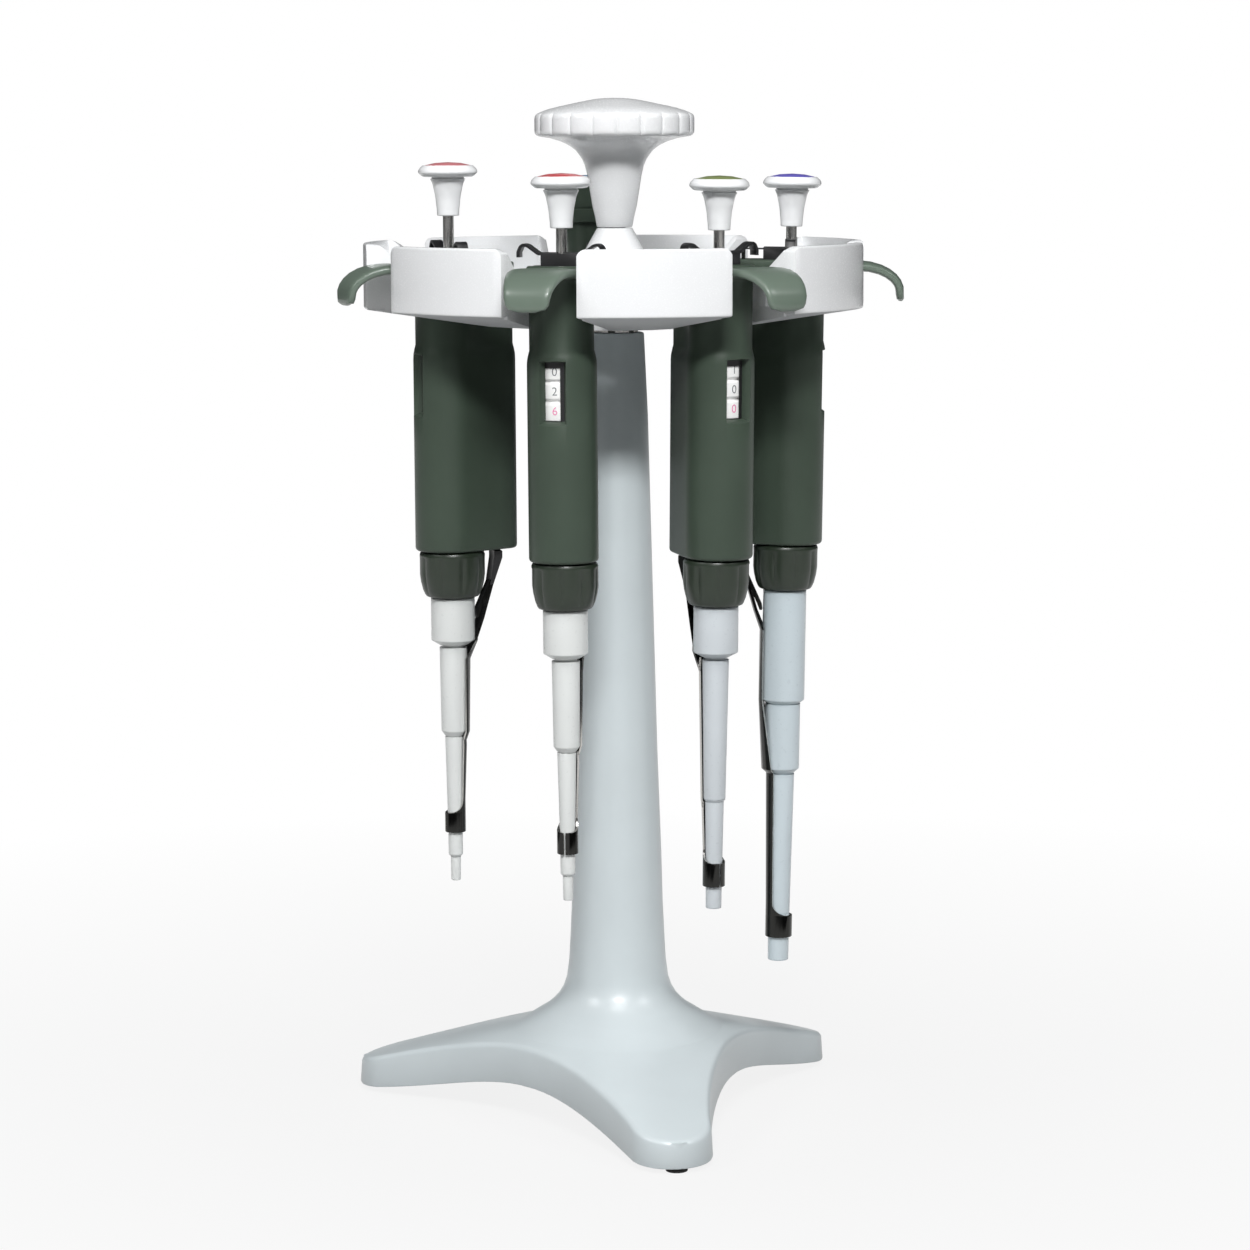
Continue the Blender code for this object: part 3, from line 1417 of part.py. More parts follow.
def main():
    for obj in list(bpy.data.objects):
        bpy.data.objects.remove(obj, do_unlink=True)

    grey = material("light grey plastic", (0.62, 0.66, 0.70), 0.32)
    white = material("white plastic", (0.86, 0.87, 0.88), 0.28)
    olive = material("dark olive plastic", (0.072, 0.074, 0.052), 0.48)
    black = material("black plastic", (0.012, 0.012, 0.014), 0.45)
    steel = material("steel", (0.55, 0.53, 0.49), 0.28, 1.0)
    rubber = material("black rubber", (0.02, 0.02, 0.02), 0.85)
    shaft = material("off-white plastic", (0.74, 0.75, 0.72), 0.35)
    blue_shaft = material("pale blue plastic", (0.60, 0.66, 0.76), 0.35)

    make_base_column(grey)
    make_pads(rubber)
    make_weight(steel)
    make_bearings(white, steel)

    axle = empty("carousel_axle", Matrix.Translation((0.0, 0.0, 0.0)))
    make_spindle(axle, steel)
    make_ring(axle, white)
    make_knob(axle, white)

    for pipette in PIPETTES:
        frame = empty(pipette["name"], hang_matrix(pipette))
        frame.parent = axle
        make_handle(pipette, frame, olive)
        make_ejector(pipette, frame, black)
        make_plunger(pipette, frame, steel, olive if pipette["tall"] else white)
        make_wheels(pipette, frame, white)
        make_nut(pipette, frame, olive)
        large = pipette["nozzle"] is LARGE_NOZZLE
        make_nozzle(pipette, frame, blue_shaft if large else shaft)
        make_arm(pipette, frame, steel)


main()
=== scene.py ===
from math import acos, asin, atan2, copysign, cos, hypot, pi, radians, sin, tan, tau

import bmesh
import bpy
from mathutils import Matrix, Vector


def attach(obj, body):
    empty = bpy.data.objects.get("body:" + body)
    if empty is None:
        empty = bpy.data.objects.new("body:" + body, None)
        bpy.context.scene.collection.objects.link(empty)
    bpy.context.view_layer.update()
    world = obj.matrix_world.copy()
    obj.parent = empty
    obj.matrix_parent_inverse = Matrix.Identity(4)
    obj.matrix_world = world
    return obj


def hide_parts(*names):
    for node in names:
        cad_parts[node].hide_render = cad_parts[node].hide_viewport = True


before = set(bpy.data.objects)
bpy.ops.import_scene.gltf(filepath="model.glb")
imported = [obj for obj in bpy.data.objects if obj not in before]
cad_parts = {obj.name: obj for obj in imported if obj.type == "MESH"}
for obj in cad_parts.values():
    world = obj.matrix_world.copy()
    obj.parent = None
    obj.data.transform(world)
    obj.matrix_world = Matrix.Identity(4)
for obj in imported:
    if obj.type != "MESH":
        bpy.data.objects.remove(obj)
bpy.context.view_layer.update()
print("frame loaded")

# Lengths are in metres. Bearings are in degrees from -Y, positive towards +X.
scene = bpy.context.scene
# clearance between pieces that sit in each other
gap = 0.0003

def addObject(name, data):
    obj = bpy.data.objects.new(name, data)
    scene.collection.objects.link(obj)
    return obj


# camera, at the photograph's viewing angle
camera = {
    "place": (0.0, -1.23565, 0.32159), "pitch": 7.437, "yaw": 0.133, "roll": 0.213,
    "sensor": 36.0, "focalPixels": 3802.0, "photoPixels": 1250.0, "near": 0.05,
}


def makeCamera(c):
    data = bpy.data.cameras.new("camera")
    data.sensor_fit = "HORIZONTAL"
    data.sensor_width = c["sensor"]
    data.lens = c["sensor"] * c["focalPixels"] / c["photoPixels"]
    data.clip_start = c["near"]
    obj = addObject("camera", data)
    turn = Matrix.Rotation(radians(-c["yaw"]), 4, "Z")
    tilt = Matrix.Rotation(radians(90.0 - c["pitch"]), 4, "X")
    roll = Matrix.Rotation(radians(-c["roll"]), 4, "Z")
    obj.matrix_world = Matrix.Translation(c["place"]) @ turn @ tilt @ roll
    scene.camera = obj


makeCamera(camera)


# materials
def newMaterial(name):
    material = bpy.data.materials.new(name)
    material.use_nodes = True
    return material, material.node_tree, material.node_tree.nodes["Principled BSDF"]


def setInputs(tree, node, inputs):
    for key, value in inputs.items():
        if isinstance(value, bpy.types.NodeSocket):
            tree.links.new(value, node.inputs[key])
        else:
            node.inputs[key].default_value = value


def addNode(tree, kind, inputs, operation=None):
    node = tree.nodes.new("ShaderNode" + kind)
    if operation:
        node.operation = operation
    setInputs(tree, node, inputs)
    return node.outputs


def noise(tree, scale, detail, stretch=None):
    where = addNode(tree, "TexCoord", {})["Object"]
    if stretch:
        where = addNode(tree, "Mapping", {"Vector": where, "Scale": stretch})["Vector"]
    return addNode(tree, "TexNoise", {"Vector": where, "Scale": scale, "Detail": detail})["Fac"]


def ramp(tree, value, stops):
    node = tree.nodes.new("ShaderNodeValToRGB")
    for element, (place, colour) in zip(node.color_ramp.elements, stops):
        element.position = place
        element.color = (*colour, 1.0)
    setInputs(tree, node, {"Fac": value})
    return node.outputs["Color"]


def spread(tree, value, low, high):
    limits = {"From Min": 0.3, "From Max": 0.7, "To Min": low, "To Max": high}
    return addNode(tree, "MapRange", {"Value": value, **limits})["Result"]


def bumpFrom(tree, value, strength, distance):
    return addNode(tree, "Bump", {"Height": value, "Strength": strength, "Distance": distance})["Normal"]


def tint(colour, by):
    return tuple(min(1.0, c * by) for c in colour)


# noise scale and depth of a surface's grain
polished, moulded, drawn = (2600.0, 0.000003), (3000.0, 0.00001), (900.0, 0.000002)


# swing is how far the broad blotches shift the colour
def plastic(name, colour, roughness, grain, coat, swing, blotch=38.0):
    material, tree, shader = newMaterial(name)
    fine = noise(tree, grain[0], 2.0)
    stops = ((0.35, tint(colour, 1.0 - swing)), (0.65, tint(colour, 1.0 + swing)))
    setInputs(tree, shader, {
        "Base Color": ramp(tree, noise(tree, blotch, 4.0), stops),
        "Roughness": spread(tree, fine, roughness * 0.9, roughness * 1.1),
        "Coat Weight": coat,
        "Coat Roughness": 0.12,
        "Normal": bumpFrom(tree, fine, 0.35, grain[1]),
    })
    return material


def turnedSteel(name, colour, roughness, stretch, grain=900.0, grainDepth=0.00002):
    material, tree, shader = newMaterial(name)
    lines = noise(tree, grain, 2.0, stretch)
    stops = ((0.3, tint(colour, 0.86)), (0.7, tint(colour, 1.1)))
    setInputs(tree, shader, {
        "Base Color": ramp(tree, lines, stops),
        "Roughness": spread(tree, lines, roughness * 0.8, roughness * 1.25),
        "Metallic": 1.0,
        "Normal": bumpFrom(tree, lines, 0.2, grainDepth),
    })
    return material


whiteGloss = plastic("white gloss plastic", (0.80, 0.81, 0.82), 0.26, polished, 0.25, 0.012)
greyPlastic = plastic("light grey plastic", (0.61, 0.67, 0.69), 0.34, (2600.0, 0.000004), 0.1, 0.02)
oliveGrip = plastic("dark olive plastic", (0.051, 0.072, 0.053), 0.42, (3000.0, 0.00002), 0.0, 0.06)
nutOlive = plastic("nut olive plastic", (0.021, 0.031, 0.020), 0.36, moulded, 0.0, 0.06)
# lighter copy of the handle olive for the hooks: painted sheen
paintedSheenOlive = plastic("olive plastic with painted sheen", (0.130, 0.170, 0.136), 0.34, moulded, 0.1, 0.06)
blackPlastic = plastic("black plastic", (0.012, 0.012, 0.013), 0.38, (2600.0, 0.00003), 0.0, 0.1)
padRubber = plastic("black rubber", (0.02, 0.02, 0.02), 0.8, (3000.0, 0.00005), 0.0, 0.15)
buttonWhite = plastic("button plastic", (0.84, 0.85, 0.86), 0.24, polished, 0.3, 0.01)
shaftWhite = plastic("shaft plastic", (0.72, 0.74, 0.73), 0.30, drawn, 0.2, 0.02)
shaftGrey = plastic("pale grey shaft plastic", (0.58, 0.62, 0.65), 0.30, drawn, 0.2, 0.02)
shaftBlue = plastic("pale blue shaft plastic", (0.60, 0.68, 0.72), 0.30, drawn, 0.2, 0.02)
drumWhite = plastic("number drum plastic", (0.93, 0.93, 0.92), 0.45, (1500.0, 0.00001), 0.0, 0.01)
digitBlack = plastic("digit ink", (0.17, 0.18, 0.19), 0.5, moulded, 0.0, 0.05)
digitPink = plastic("pink digit ink", (0.80, 0.22, 0.44), 0.5, moulded, 0.0, 0.05)
# near-black base colour on steel: painted dark reflection
steelWithPaintedDarkReflection = turnedSteel("steel with painted dark reflection", (0.04, 0.04, 0.038), 0.22, (1.0, 1.0, 0.04))
groundSteel = turnedSteel("ground steel", (0.58, 0.57, 0.55), 0.22, (1.0, 1.0, 0.05))
# darker, rougher copy of the white plastic: painted shade on the ring's undersides
paintedShadeWhite = plastic("white plastic with painted underside shade", (0.62, 0.63, 0.64), 0.60, polished, 0.0, 0.012)
for material, level in ((paintedShadeWhite, 0.1), (oliveGrip, 0.3)):
    material.node_tree.nodes["Principled BSDF"].inputs["Specular IOR Level"].default_value = level
print("materials made")


# mesh tools
def shade(mesh, sharp):
    mesh.shade_smooth()
    mesh.set_sharp_from_angle(angle=radians(sharp))


def toObject(name, bm, material=None, place=None, sharp=32.0):
    if place is not None:
        bmesh.ops.transform(bm, matrix=place, verts=bm.verts)
    mesh = bpy.data.meshes.new(name)
    bm.to_mesh(mesh)
    bm.free()
    obj = addObject(name, mesh)
    if material:
        mesh.materials.append(material)
    shade(mesh, sharp)
    return obj


def paintFaces(obj, material, chosen):
    obj.data.materials.append(material)
    for face in obj.data.polygons:
        if chosen(face):
            face.material_index = len(obj.data.materials) - 1


def turned(points, angle):
    c, s = cos(angle), sin(angle)
    return [(c * x - s * y, s * x + c * y, *rest) for x, y, *rest in points]


def edgeLoop(bm, points, closed=True):
    verts = [bm.verts.new(p) for p in points]
    ends = verts[1:] + verts[:1] if closed else verts[1:]
    return verts, [bm.edges.new(pair) for pair in zip(verts, ends)]


def quarterTurn(steps):
    return [pi / 2 * k / steps for k in range(steps + 1)]


def skinLoops(rings, closed=False):
    bm = bmesh.new()
    loops = [edgeLoop(bm, ring)[1] for ring in rings]
    pairs = list(zip(loops, loops[1:]))
    if closed:
        pairs.append((loops[-1], loops[0]))
    for a, b in pairs:
        bmesh.ops.bridge_loops(bm, edges=a + b)
    if not closed:
        for loop in (loops[0], loops[-1]):
            bmesh.ops.contextual_create(bm, geom=loop)
    bmesh.ops.recalc_face_normals(bm, faces=bm.faces)
    return bm


def arc(radius, middle, start, span, steps, z):
    turns = [start + span * i / steps for i in range(steps + 1)]
    return [(radius * sin(a), middle + radius * cos(a), z) for a in turns]


def flutedRing(g, radius, z, share):
    steps = g["flutes"] * g["fluteSteps"]
    ring = []
    for i in range(steps):
        a = tau * i / steps
        wave = abs(sin(g["flutes"] * 0.5 * a)) ** g["flutePower"]
        r = radius - share * g["fluteDepth"] * (1.0 - wave)
        turn = a + radians(g["phase"] - 90.0)
        ring.append((r * cos(turn), r * sin(turn), z))
    return ring


def prism(plan, low, high):
    return skinLoops([[(x, y, z) for x, y in plan] for z in (low, high)])


# Rounds a profile's corners. A point's third value is its own radius.
def rounded(profile, radius=0.0, steps=4):
    folded, straight = radians(2.0), radians(176.0)
    out = []
    last = len(profile) - 1
    for i, point in enumerate(profile):
        here = Vector(point[:2])
        size = point[2] if len(point) > 2 else radius
        if i in (0, last) or size <= 0.0:
            out.append(tuple(here))
            continue
        before = Vector(profile[i - 1][:2]) - here
        after = Vector(profile[i + 1][:2]) - here
        turn = before.angle(after)
        if turn > straight or turn < folded:
            out.append(tuple(here))
            continue
        reach = min(size / tan(turn / 2.0), before.length * 0.48, after.length * 0.48)
        a = here + before.normalized() * reach
        b = here + after.normalized() * reach
        for k in range(steps + 1):
            t = k / steps
            out.append(tuple(a * (1 - t) ** 2 + here * 2 * t * (1 - t) + b * t**2))
    return out


def spunProfile(profile, steps, closed=False):
    bm = bmesh.new()
    verts, edges = edgeLoop(bm, [(r, 0.0, z) for r, z in profile], closed)
    bmesh.ops.spin(
        bm, geom=verts + edges, cent=(0, 0, 0), axis=(0, 0, 1), angle=tau,
        steps=steps, use_merge=True, use_duplicate=False,
    )
    bmesh.ops.remove_doubles(bm, verts=bm.verts, dist=1e-7)
    bmesh.ops.recalc_face_normals(bm, faces=bm.faces)
    return bm


def turnedPiece(name, profile, steps, material, place, sharp=32.0, cornerSteps=4):
    shape = spunProfile(rounded(profile, steps=cornerSteps), steps)
    return toObject(name, shape, material, place, sharp)


def roundBar(radius, low, high, steps, centre=(0.0, 0.0)):
    turns = [tau * i / steps for i in range(steps)]
    circle = [(centre[0] + radius * cos(a), centre[1] + radius * sin(a)) for a in turns]
    return prism(circle, low, high)


def joined(shapes):
    whole = bmesh.new()
    for shape in shapes:
        mesh = bpy.data.meshes.new("shape")
        shape.to_mesh(mesh)
        shape.free()
        whole.from_mesh(mesh)
        bpy.data.meshes.remove(mesh)
    return whole


def meshShape(mesh):
    shape = bmesh.new()
    shape.from_mesh(mesh)
    bpy.data.meshes.remove(mesh)
    return shape


def apply(obj):
    graph = bpy.context.evaluated_depsgraph_get()
    graph.update()
    mesh = bpy.data.meshes.new_from_object(obj.evaluated_get(graph))
    old = obj.data
    obj.modifiers.clear()
    obj.data = mesh
    mesh.name = old.name
    bpy.data.meshes.remove(old)


def cutOrJoin(obj, shapes, operation):
    for shape in shapes:
        tool = toObject("tool", shape)
        step = obj.modifiers.new("join", "BOOLEAN")
        step.operation = operation
        step.solver = "EXACT"
        step.object = tool
        apply(obj)
        bpy.data.objects.remove(tool, do_unlink=True)


def softEdges(obj, width, angle=38.0, segments=2, merge=0.00002, sharp=50.0):
    weld = obj.modifiers.new("weld", "WELD")
    weld.merge_threshold = merge
    bevel = obj.modifiers.new("soft edges", "BEVEL")
    bevel.width = width
    bevel.segments = segments
    bevel.limit_method = "ANGLE"
    bevel.angle_limit = radians(angle)
    bevel.miter_outer = "MITER_ARC"
    apply(obj)
    shade(obj.data, sharp)


def standIn(obj, body, nodes):
    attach(obj, body)
    if nodes:
        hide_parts(*nodes)


# foot and column
foot = {
    "legs": 3, "bearing": 12.14, "reach": 0.09095, "tip": 0.01335, "valley": 0.04004,
    "tipUnder": 0.00145, "valleyUnder": 0.0119, "arch": 1.6, "tipTop": 0.0100, "valleyTop": 0.0246,
    "edge": 0.0007, "sideLean": 0.0004, "fillet": 0.0022, "filletSteps": 6, "flatten": 0.8,
    "wall": 0.0030, "skin": 1.04, "root": 0.0345, "innerRoot": 0.0250,
    "top": 0.2562, "topRadius": 0.0094, "topRim": 0.0002,
    # radius and height
    "column": (
        (0.0300, 0.0290), (0.0266, 0.0312), (0.0240, 0.0328), (0.0217, 0.0347), (0.0196, 0.0370),
        (0.0179, 0.0398), (0.0168, 0.0430), (0.0160, 0.0490), (0.0155, 0.0580), (0.0150, 0.0690),
        (0.0146, 0.0850), (0.0134, 0.1190), (0.0118, 0.1820), (0.0106, 0.2290),
    ),
    "hollowFrom": 0.04, "head": 0.0500, "boreRadius": 0.0060, "seatRadius": 0.0081, "seatDepth": 0.0019,
    "padInset": 0.0047, "padRadius": 0.0035, "padStem": 0.0016, "padStemTop": 0.0048, "boss": 0.0043,
    "sharp": 40.0,
}


def lobePoints(reach, tip, valley, tipSteps=12, valleySteps=16):
    centre = reach - tip
    rise = tip - valley
    half = pi / 3
    hollow = (centre**2 - rise**2) / (2 * centre * cos(half) + 2 * rise)
    hollowRadius = hollow - valley
    cx, cy = hollow * cos(half), hollow * sin(half)
    meet = atan2(cy, cx - centre)
    points = []
    for i in range(tipSteps):
        a = meet * i / (tipSteps - 1)
        points.append((centre + tip * cos(a), tip * sin(a)))
    start, end = meet - pi, half - pi
    for i in range(1, valleySteps + 1):
        a = start + (end - start) * i / valleySteps
        points.append((cx + hollowRadius * cos(a), cy + hollowRadius * sin(a)))
    return points


def legTurn(f, leg):
    return radians(f["bearing"] - 90.0 + leg * 360.0 / f["legs"])


def footOutline(f, inset):
    half = lobePoints(f["reach"] - inset, f["tip"] - inset, f["valley"] - inset)
    whole = [(x, -y) for x, y in reversed(half[1:-1])] + half
    points = []
    for leg in range(f["legs"]):
        points += turned(whole, legTurn(f, leg))
    return points


def padCentre(f, leg):
    turn = legTurn(f, leg)
    radius = f["reach"] - f["padInset"]
    return radius * cos(turn), radius * sin(turn)


def makeFoot(f):
    edge, lean, fillet, wall, rim = f["edge"], f["sideLean"], f["fillet"], f["wall"], f["topRim"]
    base = footOutline(f, 0.0)

    def share(r):
        return (f["reach"] - r) / (f["reach"] - f["valley"])

    def topAt(r):
        return f["tipTop"] + (f["valleyTop"] - f["tipTop"]) * share(r)

    def underAt(r):
        return f["tipUnder"] + (f["valleyUnder"] - f["tipUnder"]) * min(max(share(r), 0.0), 1.0) ** f["arch"]

    def skinAt(r):
        return topAt(r) - f["skin"] * wall

    def outline(inset, height, up=0.0):
        return [(x, y, height(hypot(x, y)) + up) for x, y in footOutline(f, inset)]

    def bearingRing(radius, z):
        return [(radius * x / hypot(x, y), radius * y / hypot(x, y), z) for x, y in base]

    def between(a, b, t, height):
        ring = []
        for p, q in zip(a, b):
            x, y = p[0] + (q[0] - p[0]) * t, p[1] + (q[1] - p[1]) * t
            ring.append((x, y, height(hypot(x, y))))
        return ring

    # outside, from the leg's lower edge over the crown and up the column
    rings = [outline(edge, underAt), outline(0.3 * edge, underAt, 0.3 * edge), outline(0.0, underAt, edge)]
    rings.append(outline(lean, topAt, -fillet))
    for a in quarterTurn(f["filletSteps"])[1:-1]:
        inset = lean + (fillet - lean) * (1 - cos(a))
        rings.append(outline(inset, topAt, -fillet * (1 - sin(a)) * f["flatten"]))
    crown = outline(fillet, topAt)
    root = bearingRing(f["root"], topAt(f["root"]))
    rings.append(crown)
    rings += [between(crown, root, t, topAt) for t in (0.2, 0.4, 0.6, 0.8, 0.92)]
    rings.append(root)
    rings += [bearingRing(r, z) for r, z in f["column"]]
    for inset, down in ((0.0, edge), (rim, rim), (edge, 0.0)):
        rings.append(bearingRing(f["topRadius"] - inset, f["top"] - down))
    # inside, down the bore and the hollow column to the shell's lower edge
    floor = f["top"] - f["seatDepth"]
    head = f["top"] - f["head"]
    rings += [bearingRing(f["seatRadius"], f["top"]), bearingRing(f["seatRadius"], floor)]
    rings += [bearingRing(f["boreRadius"], floor), bearingRing(f["boreRadius"], head)]
    hollow = [(r, z) for r, z in reversed(f["column"]) if f["hollowFrom"] < z < head]
    rings += [bearingRing(r - wall, z) for r, z in hollow]
    innerCrown = outline(wall, skinAt)
    innerRoot = bearingRing(f["innerRoot"], 0.0)
    rings += [between(innerCrown, innerRoot, t, skinAt) for t in (1.0, 0.7, 0.4, 0.15)]
    rings += [innerCrown, outline(wall, underAt)]
    obj = toObject("foot_and_column", skinLoops(rings, closed=True), greyPlastic, sharp=f["sharp"])
    middle = f["reach"] - f["padInset"]
    low, high = underAt(middle), topAt(middle) - 0.5 * wall
    bosses = [roundBar(f["boss"], low, high, 32, padCentre(f, leg)) for leg in range(f["legs"])]
    cutOrJoin(obj, bosses, "UNION")
    shade(obj.data, f["sharp"])
    standIn(obj, "stand", ["base_column"])


def makePads(f):
    radius, top, stem, stemTop = f["padRadius"], f["tipUnder"] - gap, f["padStem"], f["padStemTop"]
    outline = [(0, 0), (radius, 0, 0.0004), (radius, top, 0.0002), (stem, top), (stem, stemTop), (0, stemTop)]
    for leg in range(f["legs"]):
        place = Matrix.Translation((*padCentre(f, leg), 0.0))
        obj = turnedPiece(f"rubber_pad_{leg + 1}", outline, 48, padRubber, place)
        standIn(obj, "stand", [f"foot_pad_{leg + 1}"])


makeFoot(foot)
makePads(foot)
print("foot and column made")

# carousel ring
ring = {
    "bays": 7, "bearing": -16.75, "radius": 0.08125, "top": 0.2854, "low": 0.2645, "wall": 0.0022,
    "floor": 0.0024, "midRadius": 0.0490, "midUnder": 0.2595, "innerRadius": 0.0357, "innerUnder": 0.2585,
    "flatRadius": 0.0200, "hubUnder": 0.2578, "coneTop": 0.0057, "coneFoot": 0.0225, "hubTop": 0.2898,
    "bayHalf": 0.0120, "bayCentre": 0.0420, "bayWall": 0.0022, "cornerTop": 0.0036, "cornerLow": 0.0013,
    "cornerFit": 0.00015, "shoulderRadius": 0.0630, "shoulderTop": 0.2752, "neckRadius": 0.0450,
    "neckTop": 0.2688, "rootTop": 0.2668, "rootInset": 0.0004, "hubInset": 0.0007, "trayInset": 0.0011,
    "lugRadius": 0.0645, "lugLength": 0.0045, "lugReach": 0.0028, "lugHeight": 0.0090, "seat": 0.2760,
    "bore": 0.0038, "soft": 0.00045, "undersideNormal": -0.6, "steps": 168,
}


def bayPlan(half, reach, centre, steps=24):
    points = [(reach, -half), (reach, half)]
    for i in range(steps + 1):
        a = pi / 2 + pi * i / steps
        points.append((centre + half * cos(a), half * sin(a)))
    return points


def mouthShape(g, turn, topSteps=8, lowSteps=6):
    half = g["bayHalf"] - gap
    top, low = g["cornerTop"], g["cornerLow"]
    high, deep = g["top"] - top + g["cornerFit"], g["low"] + low - g["cornerFit"]
    side = [(half + top, g["top"] + top)]
    for a in quarterTurn(topSteps):
        side.append((half + top - top * sin(a), high + top * cos(a)))
    for a in quarterTurn(lowSteps):
        side.append((half + low - low * cos(a), deep - low * sin(a)))
    side.append((half + low, g["low"] - 4 * low))
    outline = side + [(-x, z) for x, z in reversed(side)]
    ends = (g["radius"] - 3 * g["wall"], g["radius"] + 4 * g["wall"])
    return skinLoops([turned([(reach, y, z) for y, z in outline], turn) for reach in ends])


def makeRing(g):
    inner = g["bayCentre"] - g["bayHalf"] - g["bayWall"]
    hubFloor = g["hubUnder"] + g["floor"] - gap
    # radius, height and, where it isn't sharp, the corner's radius
    envelope = rounded(
        [
            (g["bore"], g["hubTop"]), (g["bore"], g["hubUnder"]), (g["flatRadius"], g["hubUnder"], 0.002),
            (g["innerRadius"], g["innerUnder"], 0.004), (g["midRadius"], g["midUnder"], 0.012),
            (g["radius"], g["low"], 0.0009), (g["radius"], g["top"], 0.0008),
            (g["radius"] - 1.7 * g["wall"], g["top"], 0.004), (g["shoulderRadius"], g["shoulderTop"], 0.006),
            (g["neckRadius"], g["neckTop"], 0.006), (inner - g["rootInset"], g["rootTop"], 0.0006),
            (inner - g["hubInset"], hubFloor), (g["coneFoot"], hubFloor, 0.003),
            (g["coneTop"], g["hubTop"], 0.0003), (g["bore"], g["hubTop"]),
        ]
    )[:-1]
    obj = toObject("ring_moulding", spunProfile(envelope, g["steps"], closed=True), whiteGloss)
    above = g["top"] + g["wall"]
    trayInner = inner - g["trayInset"]
    tray = rounded(
        [
            (trayInner, above), (g["radius"] - g["wall"], above),
            (g["radius"] - g["wall"], g["low"] + g["floor"], 0.002),
            (g["midRadius"], g["midUnder"] + g["floor"], 0.01),
            (g["innerRadius"], g["innerUnder"] + g["floor"]), (trayInner, hubFloor + gap), (trayInner, above),
        ]
    )[:-1]
    trays = toObject("trays", spunProfile(tray, g["steps"], closed=True))
    walls, bays, mouths, lugs = [], [], [], []
    low, lugTop = g["hubUnder"] - g["wall"], g["seat"] - gap
    a, b = g["lugRadius"], g["lugRadius"] + g["lugLength"]
    for k in range(g["bays"]):
        turn = radians(g["bearing"] + k * 360.0 / g["bays"] - 90.0)
        plan = bayPlan(g["bayHalf"] + g["bayWall"], g["radius"] + g["wall"], g["bayCentre"])
        walls.append(prism(turned(plan, turn), low, above + g["wall"]))
        plan = bayPlan(g["bayHalf"], g["radius"] + 2 * g["wall"], g["bayCentre"])
        bays.append(prism(turned(plan, turn), low, above))
        mouths.append(mouthShape(g, turn))
        for side in (-1, 1):
            near, far = side * (g["bayHalf"] - g["lugReach"]), side * (g["bayHalf"] + 0.4 * g["bayWall"])
            plan = [(a, near), (b, near), (b, far), (a, far)]
            lugs.append(prism(turned(plan, turn), lugTop - g["lugHeight"], lugTop))
    cutOrJoin(trays, [joined(walls)], "DIFFERENCE")
    cutOrJoin(obj, [meshShape(trays.data), joined(bays), joined(mouths)], "DIFFERENCE")
    cutOrJoin(obj, [joined(lugs)], "UNION")
    softEdges(obj, g["soft"])
    # downward faces take the darker white as painted shade
    paintFaces(obj, paintedShadeWhite, lambda face: face.normal.z < g["undersideNormal"])
    standIn(obj, "carousel", ["carousel_ring"])


makeRing(ring)
print("ring made")

# knob
knob = {
    "foot": 0.2901, "flutes": 20, "fluteSteps": 16, "phase": 1.8, "fluteDepth": 0.0009, "flutePower": 0.45,
    "bore": 0.0038, "boreTop": 0.0116, "sharp": 40.0,
    # radius and height above the foot
    "stem": (
        (0.0055, 0.0000), (0.0058, 0.0003), (0.0064, 0.0036), (0.0072, 0.0069), (0.0080, 0.0118),
        (0.0087, 0.0165), (0.0095, 0.0198), (0.0103, 0.0216), (0.0112, 0.0230), (0.0125, 0.0247),
        (0.0145, 0.0262), (0.0172, 0.0275), (0.0205, 0.0285), (0.0236, 0.0290),
    ),
    # radius, height above the foot and share of the flutes' depth
    "rim": (
        (0.0247, 0.0292, 0.5), (0.0254, 0.0296, 0.9), (0.0258, 0.0302, 1.0), (0.0259, 0.0312, 1.0),
        (0.0259, 0.0346, 1.0), (0.0258, 0.0354, 1.0), (0.0255, 0.0360, 0.8), (0.0249, 0.0364, 0.4),
    ),
    "crown": (
        (0.0240, 0.0368), (0.0225, 0.0374), (0.0206, 0.0380), (0.0178, 0.0387), (0.0144, 0.0394),
        (0.0112, 0.0401), (0.0081, 0.0407), (0.0055, 0.0411), (0.0030, 0.0413), (0.0010, 0.04135),
    ),
}


def makeKnob(k):
    rows = [(k["bore"], k["boreTop"], 0.0), (k["bore"], 0.0, 0.0)]
    rows += [(r, z, 0.0) for r, z in k["stem"]] + [*k["rim"]] + [(r, z, 0.0) for r, z in k["crown"]]
    rings = [flutedRing(k, r, k["foot"] + z, share) for r, z, share in rows]
    obj = toObject("knob_moulding", skinLoops(rings), whiteGloss, sharp=k["sharp"])
    standIn(obj, "carousel", ["knob"])


makeKnob(knob)
print("knob made")

# pipettes
# In a pipette's own frame the seat is the origin, -Y points outward and the spine is on the +Y side.
handle = {
    "body": 0.0109, "bodyOut": 0.0009, "spine": 0.0050, "spineIn": 0.0169, "pinch": 0.0016, "head": 0.0036,
    "skirt": 0.4, "length": 0.0884, "shoulder": 0.0240, "edge": 0.0008, "rodBore": 0.00178,
    "rodDepth": 0.0610,
    "hookThick": 0.0032, "hookRoot": 0.0106, "hookTip": 0.0073, "hookReach": 0.0353, "hookDrop": 0.0112,
    "hookStraight": 0.62, "hookSquare": (0.35, 0.6), "hookFrom": 0.0006, "hookLow": -0.011,
    "armIn": 0.0154, "armBore": 0.00145, "socket": 0.0061, "socketDepth": 0.0060,
    "windowTop": 0.0258, "windowHeight": 0.0188, "windowWidth": 0.0100, "windowBevel": 0.0020,
    "windowLift": 0.0003, "windowDrop": 0.0010, "drum": 0.0086, "past": 0.004, "soft": 0.0003,
}
